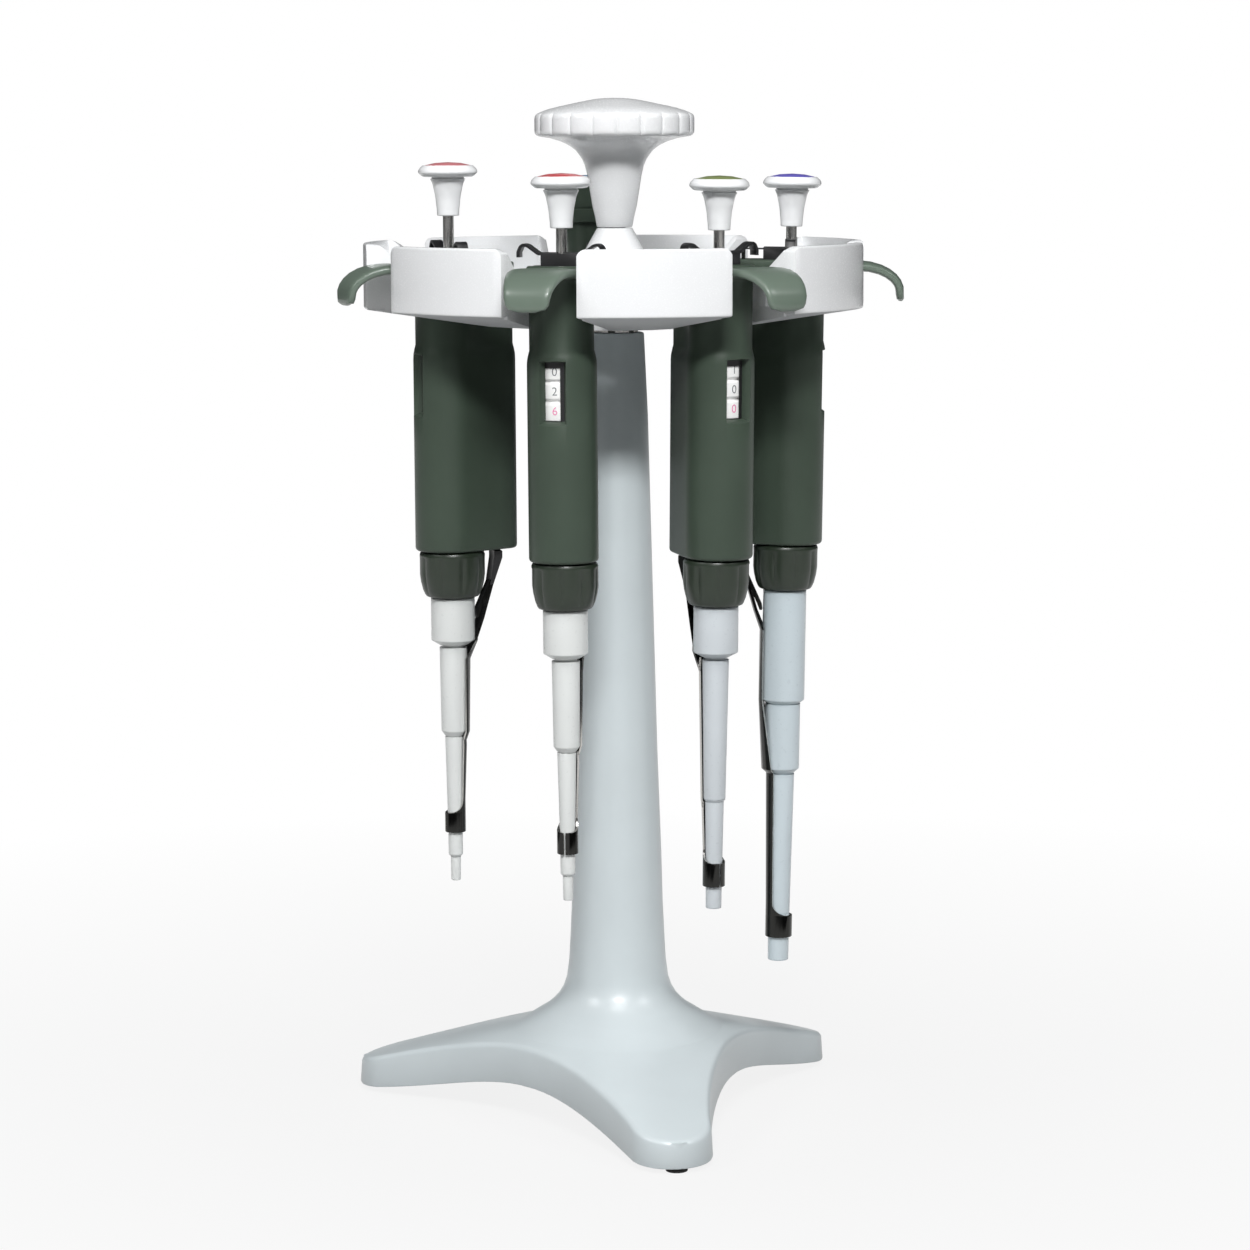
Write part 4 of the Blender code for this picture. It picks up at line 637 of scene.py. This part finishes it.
ejector = {
    "stroke": 0.0050, "half": 0.0058, "front": 0.0034, "back": 0.0088, "top": 0.0078, "plate": 0.0011,
    "earReach": 0.0142, "earApex": 0.0118, "earHeight": 0.0028, "earDrop": 0.0016, "earWidth": 0.0034,
    "earRun": 0.0014, "earBend": 0.0012, "strap": 0.0009, "tailHalf": 0.0016, "tailBack": 0.0168,
    "push": 0.0030, "soft": 0.0002,
}
plunger = {
    "rod": 0.0017, "depth": 0.0490, "inButton": 0.0060, "stem": 0.0035, "neck": 0.0056, "head": 0.0095,
    "stemLength": 0.0122, "headHeight": 0.0047, "cap": 0.0074, "capThick": 0.0010, "dome": 0.0010,
    "fit": 0.00008,
}
tall = {
    "neck": 0.0074, "neckHeight": 0.0192, "stroke": 0.0060, "radius": 0.0090, "length": 0.0158,
    "crown": 0.0044, "inButton": 0.0026, "fit": 0.0004, "band": 0.0042,
}
drums = {
    "bore": 0.00178, "groove": 0.0010, "grooveHalf": 0.0002, "rimHalf": 0.0008, "rim": 0.0006,
    "digit": 0.0037, "thin": 0.00004, "proud": 0.00006,
}
# black sheet over the drums' top band and one side of the window: painted shadow
# bearing from the front, half width in radians, and depth; None reaches to the window's foot
windowShadowSheet = {
    "near": 0.00015, "thick": 0.00025, "lift": 0.0002, "parts": ((0.0, 0.36, 0.0020), (0.30, 0.09, None)),
}
nut = {
    "radius": 0.0105, "foot": 0.0086, "length": 0.0146, "bore": 0.0061,
    "flutes": 9, "fluteSteps": 10, "phase": 90.0, "fluteDepth": 0.0006, "flutePower": 0.5,
}
nozzle = {"plug": 0.0058, "step": 0.0003, "groove": 0.0009, "grooveShare": 0.35, "grooveHeight": 0.9}
arm = {
    "gap": 0.0003, "wall": 0.0006, "halfWidth": 0.0012, "curve": 0.0074, "swoop": 0.0042, "slit": 0.0005,
    "rodHalf": 0.0006, "rodFoot": 0.0004, "afterLip": (0.0062, 0.0030), "lipDrop": 0.0002, "soft": 0.00012,
    # inner face's offset behind the axis, height, thickness, half width
    "strap": (
        (0.0139, -0.0892, 0.0026, 0.0026), (0.0139, -0.0912, 0.0026, 0.0026),
        (0.0124, -0.1000, 0.0010, 0.0024), (0.0096, -0.1107, 0.0006, 0.0032),
        (0.0074, -0.1168, 0.0006, 0.0039),
    ),
    "prong": (
        (0.0124, -0.0985, 0.0012, 0.0018), (0.0077, -0.1086, 0.0012, 0.0018),
        (0.0074, -0.1104, 0.0008, 0.0018),
    ),
    "block": {"low": -0.1108, "high": -0.0885, "back": 0.0134, "neck": -0.0995},
    "highlightBelow": -0.1180, "highlightTilt": 0.4,
}

# The nozzles' rows are radius and depth below the seat.
usual = {"sway": 0.0, "tall": False, "hookTrim": 0.0, "steep": False, "wrap": 58, "slot": "nozzle_white"}
fine = {
    **usual, "shaft": shaftWhite,
    "nozzle": (
        (0.00705, 0.1040), (0.00705, 0.1174), (0.00445, 0.1190), (0.00415, 0.1470), (0.00300, 0.1486),
        (0.00235, 0.1795), (0.00235, 0.1876), (0.00165, 0.1884), (0.00155, 0.1962),
    ),
}
medium = {
    **usual, "shaft": shaftGrey, "collar": 0.1862, "collarLength": 0.0076,
    "nozzle": (
        (0.00710, 0.1040), (0.00710, 0.1184), (0.00425, 0.1200), (0.00350, 0.1655), (0.00300, 0.1663),
        (0.00255, 0.1940), (0.00250, 0.2010),
    ),
}
large = {
    **usual, "shaft": shaftBlue, "collar": 0.2117, "collarLength": 0.0072,
    "steep": True, "wrap": 60, "slot": "nozzle_blue",
    "nozzle": (
        (0.00705, 0.1040), (0.00705, 0.1398), (0.00575, 0.1408), (0.00575, 0.1626), (0.00420, 0.1640),
        (0.00350, 0.2110), (0.00340, 0.2268),
    ),
}
pipettes = (
    {**fine, "bay": -1, "lean": 0.15, "rise": 0.0148, "collar": 0.1738, "collarLength": 0.0064,
     "hookTrim": 0.0010, "disc": (0.62, 0.20, 0.22), "digits": "010"},
    {**fine, "bay": 0, "lean": 0.05, "sway": -0.25, "rise": 0.0116, "collar": 0.1742, "collarLength": 0.0070,
     "disc": (0.55, 0.05, 0.06), "digits": "026"},
    {**medium, "bay": 1, "lean": 0.85, "rise": 0.0106, "disc": (0.22, 0.27, 0.10), "digits": "100"},
    {**large, "bay": 2, "lean": 0.95, "rise": 0.0106, "disc": (0.14, 0.12, 0.55), "digits": "500"},
    {**medium, "bay": 4, "lean": 0.30, "rise": 0.0116, "tall": True,
     "disc": (0.10, 0.30, 0.55), "digits": "250"},
)
hang = {"radius": 0.0569, "seat": 0.2760}


def hangMatrix(p):
    turn = Matrix.Rotation(radians(ring["bearing"] + p["bay"] * 360.0 / ring["bays"]), 4, "Z")
    lean = Matrix.Rotation(radians(p["lean"]), 4, "X")
    sway = Matrix.Rotation(radians(p["sway"]), 4, "Y")
    return turn @ Matrix.Translation((0.0, -hang["radius"], hang["seat"])) @ lean @ sway


def pipettePart(obj, n, body, node):
    standIn(obj, f"pipette_{n}{body}", [f"pipette_{n}{node}"] if node else [])


def boxShape(half, near, far, low, high):
    return prism(((-half, near), (half, near), (half, far), (-half, far)), low, high)


def handleSection(h, z, inset, pinch, frontSteps=40, backSteps=16):
    body, spine = h["body"] - inset, h["spine"] - inset
    span = h["spineIn"] + h["bodyOut"]
    start = pi / 2 - asin((body - spine) / span)
    front = arc(body, -h["bodyOut"], start, tau - 2 * start, frontSteps, z)
    back = arc(spine, h["spineIn"], -start, 2 * start, backSteps, z)

    def side(a, b, sign):
        made = []
        for i in range(1, 6):
            t = i / 6
            bulge = pinch * sin(pi * t)
            made.append((a[0] + (b[0] - a[0]) * t + sign * bulge, a[1] + (b[1] - a[1]) * t, z))
        return made

    return front + side(front[-1], back[0], 1.0) + back + side(back[-1], front[0], -1.0)


def hookShape(h, trim, steps=32):
    root, tip, half = h["hookRoot"], h["hookTip"], h["hookThick"] / 2
    flat = h["hookStraight"] * h["hookReach"] - trim
    bend = h["hookReach"] - trim - flat
    level, drop = half + gap, h["hookDrop"]
    # reach, height, half width and half thickness along the hook
    line = [(share * h["hookReach"], half, root, half) for share in (0.10, 0.25, 0.40)]
    line.append((0.52 * h["hookReach"], level, 0.98 * root, half))
    line.append((flat, level, 0.95 * root, half))
    for share in (0.17, 0.34, 0.49, 0.64, 0.77, 0.90):
        a = share * pi / 2
        height = level - drop * 0.72 * (1.0 - cos(a))
        width = root + (tip - root) * min(1.0, share + 0.15)
        line.append((flat + bend * sin(a), height, width, half * (1.0 - 0.15 * share)))
    end = flat + bend
    line += [
        (end, level - 0.80 * drop, 0.94 * tip, 0.8 * half),
        (end + 0.0002, level - 0.92 * drop, 0.80 * tip, 0.75 * half),
        (end + 0.0002, level - drop + 0.4 * half, 0.60 * tip, 0.6 * half),
        (end + 0.0001, level - drop + 0.1 * half, 0.40 * tip, 0.35 * half),
    ]
    across, upward = h["hookSquare"]
    rings = []
    for i, (reach, height, width, thick) in enumerate(line):
        before, after = line[max(i - 1, 0)], line[min(i + 1, len(line) - 1)]
        run = Vector((after[0] - before[0], after[1] - before[1])).normalized()
        normal = Vector((0.0, run.y, run.x))
        centre = Vector((0.0, -reach, height))
        section = []
        for k in range(steps):
            a = tau * k / steps
            x = copysign(abs(cos(a)) ** across, cos(a))
            z = copysign(abs(sin(a)) ** upward, sin(a))
            section.append(tuple(centre + Vector((1, 0, 0)) * (x * width) + normal * (z * thick)))
        rings.append(section)
    return skinLoops(rings)


def handleBody(h, steps=4):
    top, edge, pinch, foot, shoulder = h["head"], h["edge"], h["pinch"], 1.5 * h["edge"], -h["shoulder"]
    quarter = quarterTurn(steps)
    # height, inset and pinch
    rows = [(-h["length"] + foot * (1 - cos(a)), foot * (1 - sin(a)), 0.0) for a in quarter]
    rows += [(-h["length"] * t, 0.0, 0.0) for t in (0.8, 0.6, 0.4)]
    rows += [
        (shoulder - 4 * edge, 0.0, 0.0), (shoulder - 2 * edge, 0.1 * edge, 0.1 * pinch),
        (shoulder, 0.5 * edge, 0.6 * pinch), (shoulder + 2 * edge, edge, pinch),
        (-2 * edge, edge, pinch), (edge, 0.2 * edge, 0.0),
    ]
    for a in quarter[1:]:
        rows.append((top - edge * (1 - sin(a)), 0.2 * edge + 0.8 * edge * (1 - cos(a)), 0.0))
    return skinLoops([handleSection(h, *row) for row in rows])


def windowShape(h, low, high):
    face = h["body"] + h["bodyOut"]
    wide = h["windowWidth"] / 2
    reach = face - h["drum"] + gap
    rings = []
    for depth in (-0.25 * reach, 1.3 * reach):
        cut = h["windowBevel"] / reach * depth
        y, x = -face + depth, wide - cut
        foot, head = low - h["windowDrop"] + 0.7 * cut, high + h["windowLift"] - 0.4 * cut
        rings.append([(-x, y, foot), (x, y, foot), (x, y, head), (-x, y, head)])
    return skinLoops(rings)


def makeHandle(n, p, place):
    h, e = handle, ejector
    top, past = h["head"], h["past"]
    above = top + past + (tall["neckHeight"] if p["tall"] else 0.0)
    obj = toObject(f"handle_{n}", handleBody(h), oliveGrip)
    cutOrJoin(obj, [hookShape(h, p["hookTrim"])], "UNION")
    if p["tall"]:
        r, high = tall["neck"], tall["neckHeight"]
        neck = rounded([(0, 0), (r, 0), (r, high, h["edge"]), (0, high)])
        cutOrJoin(obj, [spunProfile(neck, 64)], "UNION")
    drumTop = -h["windowTop"] + gap
    drumLow = drumTop - h["windowHeight"]
    pocketFloor = top - h["skirt"] * h["head"] - e["stroke"] - gap
    notchHalf = e["earWidth"] / 2 + gap
    notchFloor = top - (e["stroke"] - (e["top"] - e["plate"] - h["head"])) - gap
    low = -h["length"] - past
    cuts = [
        roundBar(h["rodBore"], -h["rodDepth"], above, 32),
        roundBar(h["drum"] + gap, drumLow, drumTop, 64),
        windowShape(h, drumLow, drumTop),
        roundBar(h["armBore"], low, top + past, 24, (0.0, h["armIn"])),
        roundBar(h["socket"], low, -h["length"] + h["socketDepth"], 48),
    ]
    if p["tall"]:
        cuts.append(roundBar(e["push"] + gap, pocketFloor, top + past, 48, (0.0, h["armIn"])))
    else:
        cuts.append(boxShape(e["half"] + gap, -e["front"] - gap, e["back"] + gap, pocketFloor, top + past))
        cuts.append(boxShape(e["earReach"], -notchHalf, notchHalf, notchFloor, top + past))
        cuts.append(boxShape(e["tailHalf"] + gap, 0.0, e["tailBack"] + gap, notchFloor, top + past))
    cutOrJoin(obj, cuts, "DIFFERENCE")
    softEdges(obj, h["soft"])
    # the hook's faces take the lighter olive as painted sheen
    hookFrom = -(h["body"] + h["bodyOut"] + h["hookFrom"])
    paintFaces(obj, paintedSheenOlive, lambda face: face.center.y < hookFrom and face.center.z > h["hookLow"])
    obj.data.transform(place)
    pipettePart(obj, n, "", "_handle")


def earShapes(e):
    top, strap, half = e["top"], e["strap"], e["earWidth"] / 2
    # middle line of one ear, from the block out over the arch and down
    line = [
        (0.0, top - 0.55 * strap), (e["half"] + e["earRun"], top - 0.55 * strap),
        (e["earApex"] - e["earBend"], top + e["earHeight"] - strap),
        (e["earApex"] + 0.0002, top + e["earHeight"] - 0.5 * strap),
        (e["earReach"] - e["earBend"], top + 0.6 * e["earHeight"]),
        (e["earReach"] - 0.5 * strap, top), (e["earReach"] - 0.5 * strap, top - e["earDrop"]),
    ]
    line = rounded(line, e["earBend"], 3)
    corners = ((-1, -half), (1, -half), (1, half), (-1, half))
    ears = []
    for sign in (-1, 1):
        rings = []
        for i, (x, z) in enumerate(line):
            a, b = line[max(i - 1, 0)], line[min(i + 1, len(line) - 1)]
            run = Vector((b[0] - a[0], b[1] - a[1])).normalized()
            nx, nz = -run.y * strap / 2, run.x * strap / 2
            rings.append([(sign * (x + s * nx), y, z + s * nz) for s, y in corners])
        ears.append(skinLoops(rings))
    return ears


def makeEjector(n, p, place):
    e, h = ejector, handle
    top, plate = e["top"], e["plate"]
    foot = h["head"] - h["skirt"] * h["head"]
    if p["tall"]:
        pin = [(0, foot), (e["push"], foot, 0.0002), (e["push"], top, 0.0005), (0, top)]
        away = place @ Matrix.Translation((0.0, h["armIn"], 0.0))
        obj = turnedPiece(f"ejector_button_{n}", pin, 48, blackPlastic, away)
        pipettePart(obj, n, "_ejector", "_ejector")
        return
    block = boxShape(e["half"], -e["front"], e["back"], foot, top - 0.3 * plate)
    obj = toObject(f"ejector_button_{n}", block, blackPlastic)
    tail = boxShape(e["tailHalf"], 0.5 * e["back"], e["tailBack"], top - plate, top - 0.6 * plate)
    cutOrJoin(obj, [*earShapes(e), tail], "UNION")
    rodHole = roundBar(plunger["rod"] + gap, foot - h["past"], top + h["past"], 32)
    cutOrJoin(obj, [rodHole], "DIFFERENCE")
    softEdges(obj, e["soft"])
    obj.data.transform(place)
    pipettePart(obj, n, "_ejector", "_ejector")


def nozzleRadius(stations, depth):
    for (r0, d0), (r1, d1) in zip(stations, stations[1:]):
        if d0 <= depth <= d1:
            return r0 + (r1 - r0) * (depth - d0) / (d1 - d0)
    return stations[-1][0]


def armSection(offset, z, curve, angle, thick, steps=20):
    middle = offset - curve
    inner = arc(curve, middle, -angle, 2 * angle, steps, z)
    return inner + arc(curve + thick, middle, angle, -2 * angle, steps, z)


def armStrip(rows):
    return skinLoops([armSection(*row) for row in rows])


def hugRows(p, g):
    stations, depth, wall, wrap = p["nozzle"], p["collar"], g["wall"], radians(p["wrap"])
    pairs = zip(stations, stations[1:])
    lips = [(r, d) for (r, d), (after, _) in pairs if r - after > g["gap"] and d < depth]
    rows = []
    for i, (r, d) in enumerate(lips):
        angle = wrap if i else g["strap"][-1][3] / r
        rows.append((r + g["gap"], -d - g["lipDrop"], r + g["gap"], angle, wall))
        if not p["steep"]:
            drop = g["afterLip"][min(i, 1)]
            after = nozzleRadius(stations, d + drop) + g["gap"] + g["lipDrop"]
            rows.append((after, -d - drop, after, wrap, wall))
    return rows


def collarRows(p, g, steps=8):
    depth, wall, soft, wrap = p["collar"], g["wall"], g["soft"], radians(p["wrap"])
    inner = nozzleRadius(p["nozzle"], depth) + g["gap"]
    shut = pi - g["slit"] / 2 / inner
    low = -depth - p["collarLength"]
    rows = []
    for u in quarterTurn(steps):
        cosine = cos(wrap) - (1 + cos(wrap)) * (1 - cos(u))
        angle = min(acos(max(-1.0, cosine)), shut)
        rows.append((inner, -depth + g["swoop"] * (1 - sin(u)), inner, angle, wall))
    rows += [(inner, low + soft, inner, shut, wall), (inner + soft, low, inner + soft, shut, wall - 2 * soft)]
    return rows


def makeArm(n, p, place):
    g, h, e = arm, handle, ejector
    curve, half, block = g["curve"], g["rodHalf"], g["block"]
    high = 0.6 * h["head"] - gap if p["tall"] else e["top"] - e["plate"] - gap
    ends = (high, -h["length"] - g["rodFoot"])
    rows = [(h["armIn"] - half, z, curve, g["halfWidth"] / curve, 2 * half) for z in ends]
    rows += [(a, z, curve, w / curve, t) for a, z, t, w in g["strap"]]
    rows += hugRows(p, g) + collarRows(p, g)
    prong = [(a, z, curve, w / curve, t) for a, z, t, w in g["prong"]]
    obj = toObject(f"ejector_arm_{n}", joined([armStrip(rows), armStrip(prong)]), steelWithPaintedDarkReflection, None, 40.0)

    def inBlock(face):
        x, y, z = face.center
        return block["low"] < z < block["high"] and (y > block["back"] or z > block["neck"])

    # the collar's edge faces take the bright steel as a painted highlight
    def isPaintedHighlightEdge(face):
        x, y, z = face.center
        radial = abs(face.normal.x * x + face.normal.y * y)
        return z < g["highlightBelow"] and radial < g["highlightTilt"] * hypot(x, y)

    paintFaces(obj, blackPlastic, inBlock)
    paintFaces(obj, groundSteel, isPaintedHighlightEdge)
    obj.data.transform(place)
    pipettePart(obj, n, "_ejector", "_ejector_arm")


def tallButtonSkin(foot, rim):
    low = foot + tall["crown"] - tall["length"]
    band = low + tall["band"]
    inner, outer = tall["neck"] + tall["fit"], tall["radius"]
    return [
        (inner, foot), (inner, low, 0.0002), (outer, low, 0.0006), (outer, band, 0.0002),
        (outer - gap, band + 0.0002), (outer - gap, band + 0.0008), (outer, band + 0.0010, 0.0002),
        (outer, rim, 0.0010), (plunger["cap"] + 2 * gap, rim, 0.0002),
    ]


def flaredButtonSkin(foot, head, rim):
    g = plunger
    stem, length, high, flare = g["stem"], g["stemLength"], g["headHeight"], g["neck"] - g["stem"]
    return [
        (stem, foot, 0.0004), (stem + 0.02 * flare, foot + 0.14 * length, 0.004),
        (stem + 0.22 * flare, foot + 0.48 * length, 0.02), (stem + 0.62 * flare, foot + 0.82 * length, 0.02),
        (g["neck"], head - 0.0005, 0.0002), (g["neck"] - 0.0005, head - 0.0004, 0.0001),
        (g["neck"] - 0.0005, head, 0.0001), (0.84 * g["head"], head + 0.0001, 0.0016),
        (g["head"], head + 0.30 * high, 0.0014), (0.965 * g["head"], head + 0.55 * high, 0.0016),
        (g["cap"] + 2 * gap, rim, 0.0004),
    ]


def makePlunger(n, p, place):
    g, r, cap = plunger, plunger["rod"], plunger["cap"]
    if p["tall"]:
        foot, deep, cover = tall["neckHeight"] + tall["stroke"] + 2 * gap, tall["inButton"], oliveGrip
        rim = foot + tall["crown"] - g["dome"]
        skin = tallButtonSkin(foot, rim)
    else:
        foot, deep, cover = handle["head"] + p["rise"], g["inButton"], buttonWhite
        head = foot + g["stemLength"]
        rim = head + g["headHeight"] - g["dome"]
        skin = flaredButtonSkin(foot, head, rim)
    rodTop = foot + deep - gap
    rod = [(0, -g["depth"]), (r, -g["depth"], 0.0003), (r, rodTop), (0, rodTop)]
    obj = turnedPiece(f"plunger_rod_{n}", rod, 48, groundSteel, place)
    pipettePart(obj, n, "_plunger", "_plunger_rod")
    seat = rim - g["capThick"]
    skin += [(cap + gap, rim, 0.0001), (cap + gap, seat), (0, seat)]
    bore = r + g["fit"]
    profile = [(0, foot + deep), (bore, foot + deep), (bore, foot)] + skin
    obj = turnedPiece(f"plunger_button_{n}", profile, 64, cover, place, 40.0, 5)
    pipettePart(obj, n, "_dial", "_plunger_button")
    low, dome = seat + gap, g["dome"]
    disc = [(0, low), (cap, low), (cap, rim, 0.0003), (0.55 * cap, rim + 0.75 * dome, 0.004), (0, rim + dome)]
    discTint = plastic(f"disc tint {n}", p["disc"], 0.3, polished, 0.3, 0.03)
    obj = turnedPiece(f"colour_disc_{n}", disc, 64, discTint, place, cornerSteps=6)
    pipettePart(obj, n, "_dial", "_colour_cap")


def digitMesh(digit):
    text = bpy.data.curves.new("digit", "FONT")
    text.body = digit
    text.size = drums["digit"]
    text.offset = -drums["thin"]
    text.align_x = "CENTER"
    text.align_y = "CENTER"
    text.extrude = drums["thin"]
    helper = addObject("digit", text)
    bpy.context.view_layer.update()
    mesh = bpy.data.meshes.new_from_object(helper.evaluated_get(bpy.context.evaluated_depsgraph_get()))
    bpy.data.objects.remove(helper, do_unlink=True)
    return meshShape(mesh)


def makeDrums(n, p, place):
    d, radius = drums, handle["drum"]
    top = -handle["windowTop"]
    low = top - handle["windowHeight"] + 2 * gap
    pitch = (top - low) / len(p["digits"])
    groove = radius - d["groove"]
    profile = [(d["bore"], top), (d["bore"], low), (radius, low, 0.0004)]
    for k in range(1, len(p["digits"])):
        z = low + k * pitch
        profile += [(radius, z - d["rimHalf"], d["rim"]), (groove, z - d["grooveHalf"])]
        profile += [(groove, z + d["grooveHalf"]), (radius, z + d["rimHalf"], d["rim"])]
    profile += [(radius, top, 0.0004), (d["bore"], top)]
    shape = spunProfile(rounded(profile)[:-1], 64, closed=True)
    obj = toObject(f"number_drums_{n}", shape, drumWhite, place)
    pipettePart(obj, n, "_wheels", "_number_wheels")
    for k, digit in enumerate(p["digits"]):
        bm = digitMesh(digit)
        middle = top - (k + 0.5) * pitch
        for v in bm.verts:
            x, y, lift = v.co
            around = x / radius
            r = radius + d["proud"] + lift
            v.co = (r * sin(around), -r * cos(around), middle + y)
        ink = digitPink if k == 2 else digitBlack
        piece = toObject(f"digit_{n}_{k + 1}", bm, ink, place)
        pipettePart(piece, n, "_wheels", None)


# black sheet in the window in front of the drums: painted shadow
def makeWindowShadowSheet(n, p, place):
    h, b = handle, windowShadowSheet
    near = h["drum"] + b["near"]
    top, foot = -h["windowTop"] + b["lift"], -h["windowTop"] - h["windowHeight"] + 2 * gap
    shells = []
    for bearing, half, deep in b["parts"]:
        low = top - deep if deep else foot
        shell = skinLoops([armSection(near, z, near, half, b["thick"], 12) for z in (top, low)])
        turn = Matrix.Rotation(pi + bearing, 3, "Z")
        bmesh.ops.rotate(shell, verts=shell.verts, cent=(0, 0, 0), matrix=turn)
        shells.append(shell)
    obj = toObject(f"window_shadow_sheet_{n}", joined(shells), blackPlastic, place, 40.0)
    pipettePart(obj, n, "", None)


def makeNut(n, p, place):
    top = -handle["length"] - gap
    bore, wide, foot, span = nut["bore"], nut["radius"], nut["foot"], nut["length"]
    # radius, depth below the top and share of the flutes' depth
    rows = (
        (bore, 0.0, 0.0), (wide - 0.0009, 0.0, 0.0), (wide - 0.0003, 0.0003, 0.0), (wide, 0.0010, 0.0),
        (wide, 0.10 * span, 0.0), (wide, 0.14 * span, 1.0), (wide, 0.50 * span, 1.0),
        (wide - 0.0003, 0.66 * span, 1.0), (0.5 * (wide + foot), 0.84 * span, 0.7),
        (foot + 0.0003, 0.94 * span, 0.3), (foot - 0.0002, 0.985 * span, 0.0), (foot - 0.0008, span, 0.0),
        (bore, span, 0.0),
    )
    rings = [flutedRing(nut, r, top - down, share) for r, down, share in rows]
    obj = toObject(f"nozzle_nut_{n}", skinLoops(rings, closed=True), nutOlive, place, 40.0)
    pipettePart(obj, n, "", "_nut")


def makeNozzle(n, p, place):
    g, stations, soft = nozzle, p["nozzle"], 0.0001
    shoulder = -handle["length"] - nut["length"] - 2 * gap
    high = -handle["length"] + handle["socketDepth"] - gap
    profile = [(0, high), (g["plug"], high, 0.0003), (g["plug"], shoulder)]
    profile.append((stations[0][0], shoulder, 0.0004))
    for (before, _), (r, d) in zip(stations, stations[1:]):
        if before - r > g["step"]:
            cut = min(g["groove"], g["grooveShare"] * (before - r))
            foot = -d - g["grooveHeight"] * cut
            profile += [(r, -d, soft), (r - cut, -d, soft), (r - cut, foot, soft), (r, foot, soft)]
        else:
            profile.append((r, -d, 0.0004))
    profile.append((0, -stations[-1][1]))
    obj = turnedPiece(f"nozzle_{n}", profile, 64, p["shaft"], place, 40.0)
    pipettePart(obj, n, "", "_nozzle")


makers = (makeHandle, makeEjector, makeArm, makePlunger, makeDrums, makeWindowShadowSheet, makeNut, makeNozzle)
for n, p in enumerate(pipettes, 1):
    place = hangMatrix(p)
    for make in makers:
        make(n, p, place)
    print("pipette", n, "made")

# CAD nodes that keep their own shape
for name, material in (
    ("base_weight", groundSteel), ("thrust_washer", groundSteel), ("spindle", groundSteel),
    ("retaining_clip", steelWithPaintedDarkReflection), ("lower_bush", buttonWhite), ("upper_bush", buttonWhite),
):
    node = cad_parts[name]
    node.data.materials.clear()
    node.data.materials.append(material)

# floor, backdrop and light
white = (1.0, 1.0, 1.0, 1.0)
floor = {
    "size": 3.0, "colour": (0.42, 0.42, 0.42, 1.0), "rough": 0.7,
    "whiteness": {"From Min": 0.10, "From Max": 0.55, "To Min": 0.86, "To Max": 1.0},
}
fill = {"Color": (0.93, 0.96, 1.0, 1.0), "Strength": 0.05}
# name, place, height of the aim on the column's axis, size and power
lamps = (
    ("key_front", (0.05, -0.87, 0.84), 0.18, (0.30, 0.10), 8.9),
    ("side_left", (-1.00, -0.62, 1.15), 0.16, (0.4, 0.4), 6.0),
    ("side_right", (1.05, -0.55, 1.12), 0.16, (0.4, 0.4), 4.0),
    ("rear", (-0.25, 1.05, 0.85), 0.17, (0.5, 0.4), 2.6),
    ("top", (0.0, -0.75, 1.45), 0.1, (0.5, 0.3), 4.5),
)


def eitherRay(tree, first, second):
    path = addNode(tree, "LightPath", {})
    return addNode(tree, "Math", {0: path[first], 1: path[second]}, "MAXIMUM")[0]


def showMixed(tree, output, share, lit, plain):
    mixed = addNode(tree, "MixShader", {"Fac": share, 1: lit, 2: plain})["Shader"]
    tree.links.new(mixed, tree.nodes[output].inputs["Surface"])


# The camera sees white paper that darkens a little where the object stands and shades it.
def makeFloor(f):
    bm = bmesh.new()
    bmesh.ops.create_grid(bm, x_segments=2, y_segments=2, size=f["size"])
    paper, tree, shader = newMaterial("floor paper")
    setInputs(tree, shader, {"Base Color": f["colour"], "Roughness": f["rough"]})
    glow = addNode(tree, "Emission", {"Color": white})["Emission"]
    span = addNode(tree, "VectorMath", {0: addNode(tree, "TexCoord", {})["Object"]}, "LENGTH")["Value"]
    far = addNode(tree, "MapRange", {"Value": span, **f["whiteness"]})["Result"]
    seen = eitherRay(tree, "Is Camera Ray", "Is Glossy Ray")
    share = addNode(tree, "Math", {0: seen, 1: far}, "MULTIPLY")[0]
    showMixed(tree, "Material Output", share, shader.outputs["BSDF"], glow)
    toObject("floor", bm, paper)


def makeWorld():
    scene.world = bpy.data.worlds.new("studio")
    scene.world.use_nodes = True
    tree = scene.world.node_tree
    base = tree.nodes["Background"]
    setInputs(tree, base, fill)
    plain = addNode(tree, "Background", {"Color": white, "Strength": 1.0})["Background"]
    share = eitherRay(tree, "Is Camera Ray", "Is Transmission Ray")
    showMixed(tree, "World Output", share, base.outputs["Background"], plain)


def makeLamp(name, place, aim, size, power):
    data = bpy.data.lights.new(name, "AREA")
    data.shape = "RECTANGLE"
    data.size, data.size_y = size
    data.energy = power
    obj = addObject(name, data)
    # the weak lamp behind stays out of the reflections
    obj.visible_glossy = name != "rear"
    heading = Vector((0.0, 0.0, aim)) - Vector(place)
    turn = heading.to_track_quat("-Z", "Y").to_matrix().to_4x4()
    obj.matrix_world = Matrix.Translation(place) @ turn


makeFloor(floor)
makeWorld()
for lamp in lamps:
    makeLamp(*lamp)
scene.view_settings.view_transform = "Standard"
print("stage made")
